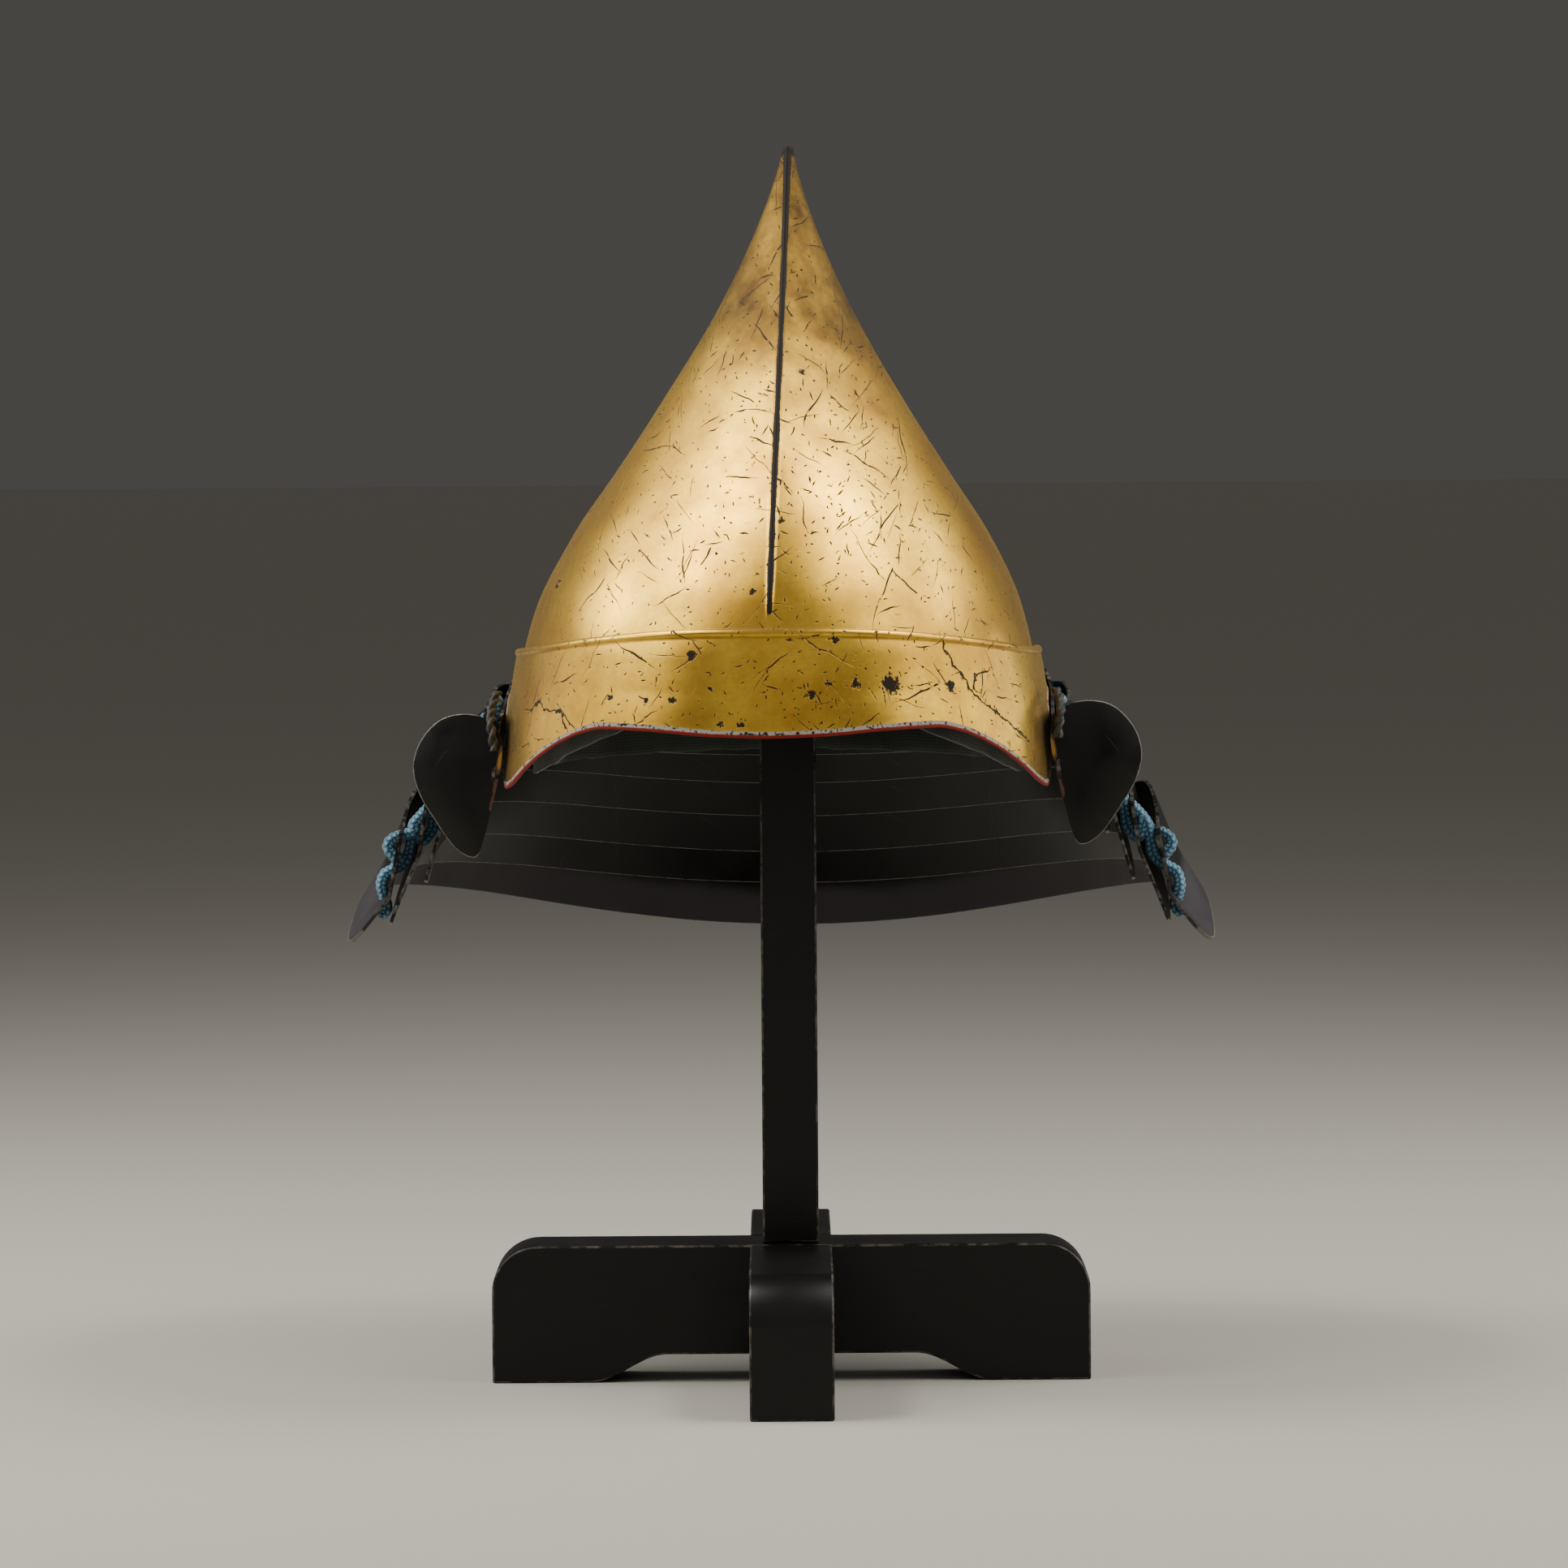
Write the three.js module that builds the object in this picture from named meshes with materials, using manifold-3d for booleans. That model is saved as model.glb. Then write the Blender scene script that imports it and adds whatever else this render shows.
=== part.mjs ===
// Kabuto: a pointed, gilded samurai helmet with a laced neck guard, resting on its wooden stand.
// Millimetres, +Z up. The wearer faces -Y and the origin is on the floor, under the post's axis.
import * as THREE from 'three';
import { mergeVertices } from 'three/addons/utils/BufferGeometryUtils.js';
import Module from 'manifold-3d';

const wasm = await Module();
wasm.setup();

// How close two pieces come, and how the helmet sits on its post.
const GAP = 0.3;
const FACET = 12; // degrees
const HELMET_TURN = -2; // degrees about the post, towards the wearer's right
const HELMET_SHIFT = -3.5; // along X, off the post's axis

// Bowl: the outside, from the tip down. keel is 0 on a round brow and 1 on a knife edge.
const BOWL_ROWS = [
  { z: 530, halfWidth: 1.5, front: 1.7, back: 1.7, keel: 0 },
  { z: 528.5, halfWidth: 2.5, front: 2.8, back: 2.8, keel: 0.2 },
  { z: 523, halfWidth: 3.3, front: 3.9, back: 3.9, keel: 0.6 },
  { z: 509, halfWidth: 7.3, front: 8.8, back: 8.8, keel: 0.7 },
  { z: 495, halfWidth: 12.5, front: 15.2, back: 15, keel: 0.7 },
  { z: 474, halfWidth: 21.6, front: 27, back: 26.5, keel: 0.7 },
  { z: 446, halfWidth: 36.4, front: 46, back: 45, keel: 0.65 },
  { z: 418, halfWidth: 53.3, front: 66.5, back: 65, keel: 0.6 },
  { z: 390, halfWidth: 71.4, front: 86.5, back: 85.5, keel: 0.5 },
  { z: 363, halfWidth: 89.3, front: 104, back: 104.5, keel: 0.35 },
  { z: 335, halfWidth: 103.2, front: 117, back: 118.5, keel: 0.12 },
  { z: 314, halfWidth: 109, front: 122, back: 124.5, keel: 0 },
  { z: 296, halfWidth: 112, front: 124.5, back: 127.5, keel: 0 },
  { z: 280, halfWidth: 113.5, front: 125.5, back: 129, keel: 0 },
];
const BOWL_WALL = 2;
const BOWL_LEAN = { from: 314, to: 530, by: 5.5 }; // the tip stands off to the wearer's left
const BOWL_RIM = { front: 297, side: 280, from: 35, to: 80 }; // it drops between these degrees
const BOWL_INNER_TIP = 496; // the hollow stops short of the solid tip
const KEEL_CREST = 0.8; // half-widths and height of the raised seam along the keel
const KEEL_FOOT = 1.8;
const KEEL_HEIGHT = 1.2;
const KEEL_FADE = { from: 346, to: 324 }; // heights at which it sinks into the bowl
const KEEL_END = { from: 524, to: 529 };

// Brow plate with its peak: degrees from the front, each FACET among them, and the height of its
// lower edge there.
const PEAK_EDGE = [
  { at: 0, z: 281 },
  { at: 12, z: 281.8 },
  { at: 24, z: 283.6 },
  { at: 36, z: 284.3 },
  { at: 42, z: 282.2 },
  { at: 48, z: 278 },
  { at: 54, z: 272.8 },
  { at: 60, z: 266.8 },
  { at: 66, z: 260.6 },
  { at: 69, z: 258 },
  { at: 72, z: 256.5 },
  { at: 74.5, z: 259 },
  { at: 78, z: 276 },
  { at: 84, z: 292 },
  { at: 96, z: 297 },
];
const PEAK_TOP = { front: 326, side: 315, from: 10, to: 90 }; // it drops between these degrees
const PEAK_WALL = 2;
const PEAK_STANDOFF = 1; // between the bowl and the plate, for the lacquer and the facets
const PEAK_FLARE = { from: 300, over: 42, width: 4, front: 3.2 }; // it leans out, below from
const BEAD_HEIGHT = 3;
const BEAD_PROUD = 0.9;

// Cloth lining: a dome inside the bowl, from its crown down.
const LINING_ROWS = [
  { z: 402, halfWidth: 0, front: 0, back: 0 },
  { z: 399.5, halfWidth: 22, front: 25, back: 25 },
  { z: 391, halfWidth: 44, front: 50, back: 50 },
  { z: 377, halfWidth: 62, front: 72, back: 72 },
  { z: 358, halfWidth: 80, front: 92, back: 92 },
  { z: 335, halfWidth: 95, front: 108, back: 110 },
  { z: 312, halfWidth: 103, front: 116, back: 118.5 },
  { z: 292, halfWidth: 107, front: 119.5, back: 122.5 },
];
const LINING_WALL = 2;
const LINING_COLUMNS = 24;
const LINING_EDGE = [
  { at: 0, z: 291 },
  { at: 30, z: 287.5 },
  { at: 38, z: 282 },
  { at: 53, z: 273.5 },
  { at: 70, z: 265 },
  { at: 82, z: 262 },
  { at: 120, z: 264 },
  { at: 180, z: 266 },
];

// Neck guard, lame by lame: half-widths and reaches back of both edges, the lower edge's heights
// at the nape, over the shoulders and at the front end, and the plate's height, in front of the
// ears endHeight. It bends bendAt of the way down, having flared bendSide of the whole by then, or
// bendFront at its front end, which lies forward of the post, where its lower part turns in by
// turnIn.
const LAMES = [
  { name: 'top_lame', top: 117.4, bottom: 120.4, topBack: 130.5, bottomBack: 144,
    nape: 262, shoulder: 269, end: 258, height: 38, endHeight: 29, forward: 39.5,
    bendAt: 0.4, bendSide: 0.35, bendFront: 0.35 },
  { name: 'second_lame', top: 124.5, bottom: 131, topBack: 144, bottomBack: 155,
    nape: 248.6, shoulder: 260, end: 250, height: 38, endHeight: 40, forward: 20,
    bendAt: 0.4, bendSide: 0.35, bendFront: 0.3 },
  { name: 'third_lame', top: 132.5, bottom: 141, topBack: 154, bottomBack: 166,
    nape: 233, shoulder: 246, end: 235, height: 41, endHeight: 42, forward: 20,
    bendAt: 0.4, bendSide: 0.35, bendFront: 0.3 },
  { name: 'fourth_lame', top: 141, bottom: 151.5, topBack: 164, bottomBack: 177,
    nape: 216, shoulder: 231.5, end: 215, height: 44, endHeight: 46, forward: 20,
    bendAt: 0.4, bendSide: 0.35, bendFront: 0.27 },
  { name: 'fifth_lame', top: 151, bottom: 166.5, topBack: 175, bottomBack: 190,
    nape: 201, shoulder: 219, end: 197, height: 45, endHeight: 52, forward: 20,
    bendAt: 0.4, bendSide: 0.35, bendFront: 0.2 },
  { name: 'bottom_lame', top: 162, bottom: 186, topBack: 187, bottomBack: 207,
    nape: 180.5, shoulder: 209, end: 188, height: 44, endHeight: 49, forward: 20,
    bendAt: 0.58, bendSide: 0.5, bendFront: 0.22, turnIn: 3 },
];
const TURN_IN_FROM = 6; // degrees behind the front end, where a lower part starts to turn in
const LAME_WALL = 1.5;
const LAME_COLUMNS = 24;
const LAME_HEIGHT_BLEND = { from: 68, to: 90 }; // degrees from the nape, from height to endHeight
const LAME_BEND_FROM = 78; // and where bendSide starts to turn into bendFront
const SHOULDER_ANGLE = 75; // degrees from the nape
const CORNER_ROUND = { other: 5, last: 13 }; // radii of the lower front corners
const CORNER_STEPS = [0.15, 0.5, 1];

// Turn-backs: the top lame's front ends, folded out. Their outline, seen from the front.
const TURNBACK_OUTLINE = [
  { x: 116.2, z: 272 },
  { x: 117.6, z: 283 },
  { x: 127, z: 290 },
  { x: 141, z: 289 },
  { x: 151, z: 280 },
  { x: 155, z: 268 },
  { x: 152.2, z: 256 },
  { x: 145.5, z: 245 },
  { x: 138, z: 234.5 },
  { x: 130.5, z: 229.5 },
  { x: 126, z: 232.5 },
  { x: 120.5, z: 252 },
];
const TURNBACK_MIDDLE = { x: 134, z: 265 };
const TURNBACK_POINTS = 28;
const TURNBACK_RINGS = [0, 0.5, 0.8, 1];
const TURNBACK_Y = -40;
const TURNBACK_SWEEP = 12; // degrees that the outer edge lies back
const TURNBACK_BULGE = 3;
const TURNBACK_LIFT = 2.2; // the left one stands this much higher, and the right one lower

// Lacing: pairs of cords side by side, let through the lames in columns around the neck guard.
const LACE_ANGLES = [-92, -64, -32, 0, 32, 64, 92]; // from the nape
const LACE_NAMES = ['front_right', 'side_right', 'rear_right', 'nape', 'rear_left', 'side_left',
  'front_left'];
const LACE_WIDTH = 9;
const LACE_THICK = 3.8;
const LACE_SIDES = 6;
const LACE_STEPS = 26;
const LACE_START = { front: 11, other: 3 }; // down the top lame
const LACE_TUCK = 2.5; // how far it goes down behind a lame's upper edge
const LACE_HOLE = 6; // how far down its hole is
const LACE_HOLE_ROOM = 0.45;
const LACE_END = [12, 17]; // down the bottom lame

// Ties from the brow plate's ends to the turn-backs.
const TIE_DIAMETER = 4;
const TIE_STEPS = 12;
const TIE_ROUTE = [ // the last number is the share of the turn-back's lift that each point takes
  [118.6, -30, 297, 0],
  [120.5, -37, 292, 0.6],
  [120.5, -44.7, 286, 1],
  [119.6, -45.5, 280, 1],
  [119.2, -45.5, 275, 1],
];

// Stand: a square post on two boards halved into each other.
const POST_SIDE = 24;
const POST_TOP = 394;
const BOARD_LENGTH = 257;
const BOARD_HEIGHT = 59;
const BOARD_THICK = 35;
const BOARD_ROUND = 20;
const ARCH_RISE = 12;
const ARCH_FLAT = 54;
const ARCH_FOOT = 86;
const ARCH_EASE = { flat: 18, foot: 12 }; // handles of the curve between them
const EDGE_BEVEL = 0.8;

const radians = THREE.MathUtils.degToRad;
const lerp = THREE.MathUtils.lerp;
const smooth = THREE.MathUtils.smoothstep;

function surface(colour, roughness, metalness) {
  return new THREE.MeshStandardMaterial({
    color: colour, roughness, metalness, side: THREE.DoubleSide,
  });
}

const GOLD = surface(0xc8a050, 0.38, 0.55);
const BLACK_LACQUER = surface(0x120e0e, 0.3, 0);
const WOOD_LACQUER = surface(0x0f0e0d, 0.42, 0);
const CLOTH = surface(0x5a6458, 0.95, 0);
const BLUE_CORD = surface(0x3c7896, 0.9, 0);
const LEATHER = surface(0x3d3a38, 0.75, 0);

// Reads a table at a key, on straight lines between its rows.
function readTable(table, key, at, value) {
  const rising = table[0][key] < table[table.length - 1][key];
  const rows = rising ? table : [...table].reverse();
  if (at <= rows[0][key]) return rows[0][value];
  for (let i = 1; i < rows.length; i += 1) {
    const [low, high] = [rows[i - 1], rows[i]];
    if (at <= high[key]) {
      return lerp(low[value], high[value], (at - low[key]) / (high[key] - low[key]));
    }
  }
  return rows[rows.length - 1][value];
}

// Faces are lists of points. Meeting points are merged, slivers dropped, and all turned outwards.
function solidFromFaces(faces) {
  const positions = [];
  for (const face of faces) {
    for (let i = 2; i < face.length; i += 1) {
      for (const point of [face[0], face[i - 1], face[i]]) positions.push(...point);
    }
  }
  const loose = new THREE.BufferGeometry();
  loose.setAttribute('position', new THREE.Float32BufferAttribute(positions, 3));
  const merged = mergeVertices(loose, 1e-3);
  const index = Array.from(merged.index.array);
  const kept = [];
  for (let i = 0; i < index.length; i += 3) {
    const [a, b, c] = index.slice(i, i + 3);
    if (a !== b && b !== c && c !== a) kept.push(a, b, c);
  }
  const { position } = merged.attributes;
  const corner = (i) => new THREE.Vector3().fromBufferAttribute(position, kept[i]);
  let volume = 0;
  for (let i = 0; i < kept.length; i += 3) {
    volume += corner(i).dot(corner(i + 1).cross(corner(i + 2)));
  }
  merged.setIndex(volume < 0 ? kept.reverse() : kept);
  merged.computeVertexNormals();
  return merged;
}

// A wall between two grids of points. wrap joins the last column to the first.
function wallBetween(outer, inner, wrap = false) {
  const faces = [];
  const rows = outer.length;
  const columns = outer[0].length;
  const spans = wrap ? columns : columns - 1;
  for (let j = 0; j < spans; j += 1) {
    const k = (j + 1) % columns;
    for (let i = 0; i + 1 < rows; i += 1) {
      faces.push([outer[i][j], outer[i + 1][j], outer[i + 1][k], outer[i][k]]);
      faces.push([inner[i][j], inner[i][k], inner[i + 1][k], inner[i + 1][j]]);
    }
    faces.push([outer[0][j], outer[0][k], inner[0][k], inner[0][j]]);
    const last = rows - 1;
    faces.push([outer[last][j], inner[last][j], inner[last][k], outer[last][k]]);
  }
  if (!wrap) {
    const end = columns - 1;
    for (let i = 0; i + 1 < rows; i += 1) {
      faces.push([outer[i][0], inner[i][0], inner[i + 1][0], outer[i + 1][0]]);
      faces.push([outer[i][end], outer[i + 1][end], inner[i + 1][end], inner[i][end]]);
    }
  }
  return solidFromFaces(faces);
}

// Booleans: into a manifold and back.
function toManifold(geometry) {
  const bare = geometry.clone();
  for (const name of ['normal', 'uv']) bare.deleteAttribute(name);
  const merged = mergeVertices(bare, 1e-3);
  return new wasm.Manifold(new wasm.Mesh({
    numProp: 3,
    vertProperties: new Float32Array(merged.attributes.position.array),
    triVerts: new Uint32Array(merged.index.array),
  }));
}

// A cut can leave specks behind, so only the largest piece is kept.
function fromManifold(manifold) {
  const [largest] = manifold.decompose().sort((a, b) => b.volume() - a.volume());
  const mesh = largest.getMesh();
  const geometry = new THREE.BufferGeometry();
  geometry.setAttribute('position', new THREE.Float32BufferAttribute(mesh.vertProperties, 3));
  geometry.setIndex(Array.from(mesh.triVerts));
  geometry.computeVertexNormals();
  return geometry;
}

// A point of a plan drawn round the post: angle 0 is the front, 90 the wearer's left, 180 the back.
function drawnPoint(row, angle, z) {
  const turn = Math.abs(radians(angle));
  const pointed = 1 - (2 * turn) / Math.PI;
  const reach = Math.cos(turn) > 0 ? row.front : row.back;
  const along = lerp(Math.cos(turn), pointed, row.keel ?? 0);
  return new THREE.Vector3(row.halfWidth * Math.sin(radians(angle)), -reach * along, z);
}

// The same plan in flat facets, so that walls that lie on each other have their corners together.
function planPoint(row, angle, z) {
  const away = Math.abs(angle);
  const low = Math.min(Math.floor(away / FACET) * FACET, 180 - FACET);
  const point = drawnPoint(row, low, z)
    .lerp(drawnPoint(row, low + FACET, z), (away - low) / FACET);
  if (angle < 0) point.x = -point.x;
  return point;
}

function rowAt(table, z) {
  const row = { z };
  for (const value of ['halfWidth', 'front', 'back', 'keel']) {
    row[value] = value in table[0] ? readTable(table, 'z', z, value) : 0;
  }
  return row;
}

function grown(row, by) {
  return { ...row, halfWidth: row.halfWidth + by, front: row.front + by, back: row.back + by };
}

function bowlRim(angle) {
  return lerp(BOWL_RIM.front, BOWL_RIM.side, smooth(Math.abs(angle), BOWL_RIM.from, BOWL_RIM.to));
}

// Columns of the bowl: the seam's two edges at the front and back, and even steps between.
function bowlAngles(halfWidth) {
  const seam = [KEEL_CREST, KEEL_FOOT].map((half) => {
    const share = Math.min(half / Math.max(halfWidth, 0.01), half / (KEEL_FOOT + 0.6));
    return THREE.MathUtils.radToDeg(Math.asin(share));
  });
  const right = [...seam];
  for (let at = FACET; at < 180; at += FACET) right.push(Math.max(at, seam[1]));
  right.push(180 - seam[1], 180 - seam[0]);
  return [...right, ...right.map((angle) => -angle).reverse()];
}

function bowlRing(row, wall, seamHeight) {
  const angles = bowlAngles(row.halfWidth);
  const half = angles.length / 2;
  return angles.map((angle, column) => {
    const z = Math.max(row.z, bowlRim(angle));
    const point = planPoint(grown(rowAt(BOWL_ROWS, z), -wall), angle, z);
    if ([0, angles.length - 1].includes(column)) point.y -= seamHeight;
    if ([half - 1, half].includes(column)) point.y += seamHeight;
    point.x += BOWL_LEAN.by * Math.max(0, (z - BOWL_LEAN.from) / (BOWL_LEAN.to - BOWL_LEAN.from));
    return point;
  });
}

function makeBowl() {
  const outer = [];
  const inner = [];
  const tip = new THREE.Vector3(BOWL_LEAN.by, 0, BOWL_INNER_TIP);
  for (const row of BOWL_ROWS) {
    const seam = KEEL_HEIGHT * smooth(row.z, KEEL_FADE.to, KEEL_FADE.from)
      * (1 - smooth(row.z, KEEL_END.from, KEEL_END.to));
    outer.push(bowlRing(row, 0, seam));
    const hollow = row.z < BOWL_INNER_TIP;
    inner.push(hollow ? bowlRing(row, BOWL_WALL, 0) : outer[0].map(() => tip.clone()));
  }
  return wallBetween(outer, inner, true);
}

// The brow plate hugs the bowl, then stands out below it as the peak.
function peakRow(z) {
  const row = rowAt(BOWL_ROWS, z);
  const drop = Math.max(0, PEAK_FLARE.from - z) / PEAK_FLARE.over;
  row.halfWidth += PEAK_FLARE.width * drop;
  row.front += PEAK_FLARE.front * drop;
  return row;
}

function makeBrowPeak() {
  const face = PEAK_STANDOFF + PEAK_WALL;
  const rows = [
    { down: 0, out: PEAK_STANDOFF + 0.4 },
    { down: BEAD_HEIGHT * 0.15, out: face + BEAD_PROUD * 0.6 },
    { down: BEAD_HEIGHT * 0.45, out: face + BEAD_PROUD },
    { down: BEAD_HEIGHT * 0.75, out: face + BEAD_PROUD * 0.6 },
    { down: BEAD_HEIGHT, out: face },
    { share: 0.35, out: face },
    { share: 0.7, out: face },
    { share: 1, out: face },
  ];
  const angles = PEAK_EDGE.map((row) => row.at);
  const all = [...angles.slice(1).map((at) => -at).reverse(), ...angles];
  const grid = (offset) => rows.map((row) => all.map((angle) => {
    const away = Math.abs(angle);
    const top = lerp(PEAK_TOP.front, PEAK_TOP.side, smooth(away, PEAK_TOP.from, PEAK_TOP.to));
    const bottom = readTable(PEAK_EDGE, 'at', away, 'z');
    const z = 'down' in row ? top - row.down : lerp(top - BEAD_HEIGHT, bottom, row.share);
    return planPoint(grown(peakRow(z), offset(row)), angle, z);
  }));
  return wallBetween(grid((row) => row.out), grid(() => PEAK_STANDOFF));
}

function makeLining() {
  const step = 360 / LINING_COLUMNS;
  const angles = [];
  for (let j = 0; j < LINING_COLUMNS; j += 1) angles.push(-180 + step * (j + 0.5));
  const grid = (inset) => {
    const rings = LINING_ROWS.map((row) => angles.map((angle) => {
      const z = row === LINING_ROWS[0] ? row.z - inset : row.z - inset * 0.5;
      return planPoint(row.halfWidth ? grown(row, -inset) : row, angle, z);
    }));
    const last = LINING_ROWS[LINING_ROWS.length - 1];
    rings.push(angles.map((angle) => {
      const edge = readTable(LINING_EDGE, 'at', Math.abs(angle), 'z');
      return planPoint(grown(last, -inset), angle, Math.min(edge, last.z - 1));
    }));
    return rings;
  };
  return wallBetween(grid(0), grid(LINING_WALL), true);
}

// Where the middle of a lame's wall lies: angle from the nape, share of the way down.
function lameEnd(lame) {
  const reach = (lame.topBack + lame.bottomBack) / 2;
  return 90 + THREE.MathUtils.radToDeg(Math.asin(lame.forward / reach));
}

function lameEdge(lame, away) {
  const high = lame.shoulder;
  if (away < SHOULDER_ANGLE) {
    return lerp(lame.nape, high, Math.sin(radians((away / SHOULDER_ANGLE) * 90)) ** 2);
  }
  const past = (away - SHOULDER_ANGLE) / (lameEnd(lame) - SHOULDER_ANGLE);
  return lerp(high, lame.end, Math.sin(radians(Math.min(past, 1) * 90)) ** 2);
}

function lameHeight(lame, away) {
  return lerp(lame.height, lame.endHeight,
    smooth(away, LAME_HEIGHT_BLEND.from, LAME_HEIGHT_BLEND.to));
}

function lamePoint(lame, angle, share) {
  const away = Math.abs(angle);
  const bend = lerp(lame.bendSide, lame.bendFront, smooth(away, LAME_BEND_FROM, lameEnd(lame)));
  const flare = share < lame.bendAt
    ? (share / lame.bendAt) * bend
    : lerp(bend, 1, (share - lame.bendAt) / (1 - lame.bendAt));
  const half = lerp(lame.top, lame.bottom, flare);
  const back = lerp(lame.topBack, lame.bottomBack, flare);
  const z = lameEdge(lame, away) + lameHeight(lame, away) * (1 - share);
  const across = Math.sign(angle) * Math.sin(radians(Math.min(away, 90)));
  const end = lameEnd(lame);
  const nearEnd = smooth(away, end - TURN_IN_FROM, end + TURN_IN_FROM / 2);
  const turned = (lame.turnIn ?? 0) * flare * nearEnd;
  return new THREE.Vector3((half - turned) * across, back * Math.cos(radians(angle)), z);
}

function lameNormal(lame, angle, share) {
  const along = lamePoint(lame, angle + 0.5, share).sub(lamePoint(lame, angle - 0.5, share));
  const low = Math.min(share + 0.05, 1);
  const down = lamePoint(lame, angle, low).sub(lamePoint(lame, angle, low - 0.1));
  return along.cross(down).normalize();
}

// The lower front corners are round: how much of the height is left near the end.
function cornerShare(lame, angle, radius) {
  const arc = radians(lameEnd(lame) - Math.abs(angle)) * lame.bottom;
  if (arc >= radius) return 1;
  const rise = radius - Math.sqrt(radius ** 2 - (radius - arc) ** 2);
  return 1 - rise / lame.endHeight;
}

function makeLame(lame) {
  const end = lameEnd(lame);
  const radius = lame === LAMES[LAMES.length - 1] ? CORNER_ROUND.last : CORNER_ROUND.other;
  const corner = THREE.MathUtils.radToDeg(radius / lame.bottom);
  const half = CORNER_STEPS.map((step) => end - corner * step);
  const angles = [-end, ...half.map((angle) => -angle)];
  for (let j = 1; j < LAME_COLUMNS; j += 1) {
    angles.push(lerp(corner - end, end - corner, j / LAME_COLUMNS));
  }
  angles.push(...[...half].reverse(), end);
  const grid = (side) => [0, lame.bendAt, 1].map((share) => angles.map((angle) => {
    const kept = share === 1 ? cornerShare(lame, angle, radius) : share;
    const point = lamePoint(lame, angle, kept);
    return point.addScaledVector(lameNormal(lame, angle, kept), side * LAME_WALL * 0.5);
  }));
  return wallBetween(grid(1), grid(-1));
}

// A turn-back is a shallow convex leaf, drawn in rings from its middle out to its edge.
function makeTurnback(side) {
  const outline = TURNBACK_OUTLINE.map(({ x, z }) => new THREE.Vector3(x, 0, z));
  const curve = new THREE.CatmullRomCurve3(outline, true, 'centripetal');
  const edge = curve.getPoints(TURNBACK_POINTS).slice(0, -1);
  const middle = new THREE.Vector3(TURNBACK_MIDDLE.x, 0, TURNBACK_MIDDLE.z);
  const inside = TURNBACK_OUTLINE[0].x;
  const grid = (depth) => TURNBACK_RINGS.map((share) => edge.map((point) => {
    const at = middle.clone().lerp(point, share);
    const back = (at.x - inside) * Math.tan(radians(TURNBACK_SWEEP));
    const bulge = TURNBACK_BULGE * (1 - share ** 2);
    const z = at.z + side * TURNBACK_LIFT;
    return new THREE.Vector3(side * at.x, TURNBACK_Y + back - bulge + depth, z);
  }));
  return wallBetween(grid(0), grid(LAME_WALL), true);
}

// A lacing column's route in its own upright plane, down and outwards through every lame.
function laceRoute(angle) {
  const sit = LAME_WALL / 2 + LACE_THICK / 2 + GAP * 1.5;
  const on = (lame, down, offset) => {
    const share = down / lameHeight(lame, Math.abs(angle));
    const normal = lameNormal(lame, angle, share);
    return lamePoint(lame, angle, share).addScaledVector(normal, offset);
  };
  const start = Math.abs(angle) > 90 ? LACE_START.front : LACE_START.other;
  const points = [on(LAMES[0], start, sit)];
  for (let k = 0; k + 1 < LAMES.length; k += 1) {
    const [upper, lower] = [LAMES[k], LAMES[k + 1]];
    const drop = lamePoint(upper, angle, 0).z - lamePoint(lower, angle, 0).z;
    points.push(on(upper, drop - 1, sit));
    points.push(on(upper, drop + LACE_TUCK, sit), on(lower, LACE_HOLE, 0));
  }
  for (const down of LACE_END) points.push(on(LAMES[LAMES.length - 1], down, sit));
  return new THREE.CatmullRomCurve3(points, false, 'centripetal');
}

function makeLace(angle, extra = 0) {
  const route = laceRoute(angle);
  const across = new THREE.Vector3(Math.cos(radians(angle)), -Math.sin(radians(angle)), 0);
  const rings = [];
  for (let i = 0; i <= LACE_STEPS; i += 1) {
    const at = route.getPoint(i / LACE_STEPS);
    const through = route.getTangent(i / LACE_STEPS).cross(across).normalize();
    const ring = [];
    for (let side = 0; side < LACE_SIDES; side += 1) {
      const turn = ((side + 0.5) / LACE_SIDES) * 2 * Math.PI;
      ring.push(at.clone()
        .addScaledVector(across, Math.cos(turn) * (LACE_WIDTH / 2 + extra))
        .addScaledVector(through, Math.sin(turn) * (LACE_THICK / 2 + extra)));
    }
    rings.push(ring);
  }
  const faces = [rings[0], [...rings[LACE_STEPS]].reverse()];
  for (let i = 0; i < LACE_STEPS; i += 1) {
    for (let side = 0; side < LACE_SIDES; side += 1) {
      const next = (side + 1) % LACE_SIDES;
      faces.push([rings[i][next], rings[i][side], rings[i + 1][side], rings[i + 1][next]]);
    }
  }
  return solidFromFaces(faces);
}

function makeTie(side) {
  const route = new THREE.CatmullRomCurve3(
    TIE_ROUTE.map(([x, y, z, share]) => (
      new THREE.Vector3(side * x, y, z + side * share * TURNBACK_LIFT)
    )),
  );
  const section = new THREE.Shape();
  section.absarc(0, 0, TIE_DIAMETER / 2, 0, 2 * Math.PI);
  return new THREE.ExtrudeGeometry(section, {
    steps: TIE_STEPS, curveSegments: 4, bevelEnabled: false, extrudePath: route,
  });
}

function roundTopped(shape, half, height, radius) {
  shape.lineTo(half, height - radius);
  shape.absarc(half - radius, height - radius, radius, 0, Math.PI / 2);
}

function roundBack(shape, half, height, radius) {
  shape.lineTo(-half + radius, height);
  shape.absarc(-half + radius, height - radius, radius, Math.PI / 2, Math.PI);
}

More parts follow.
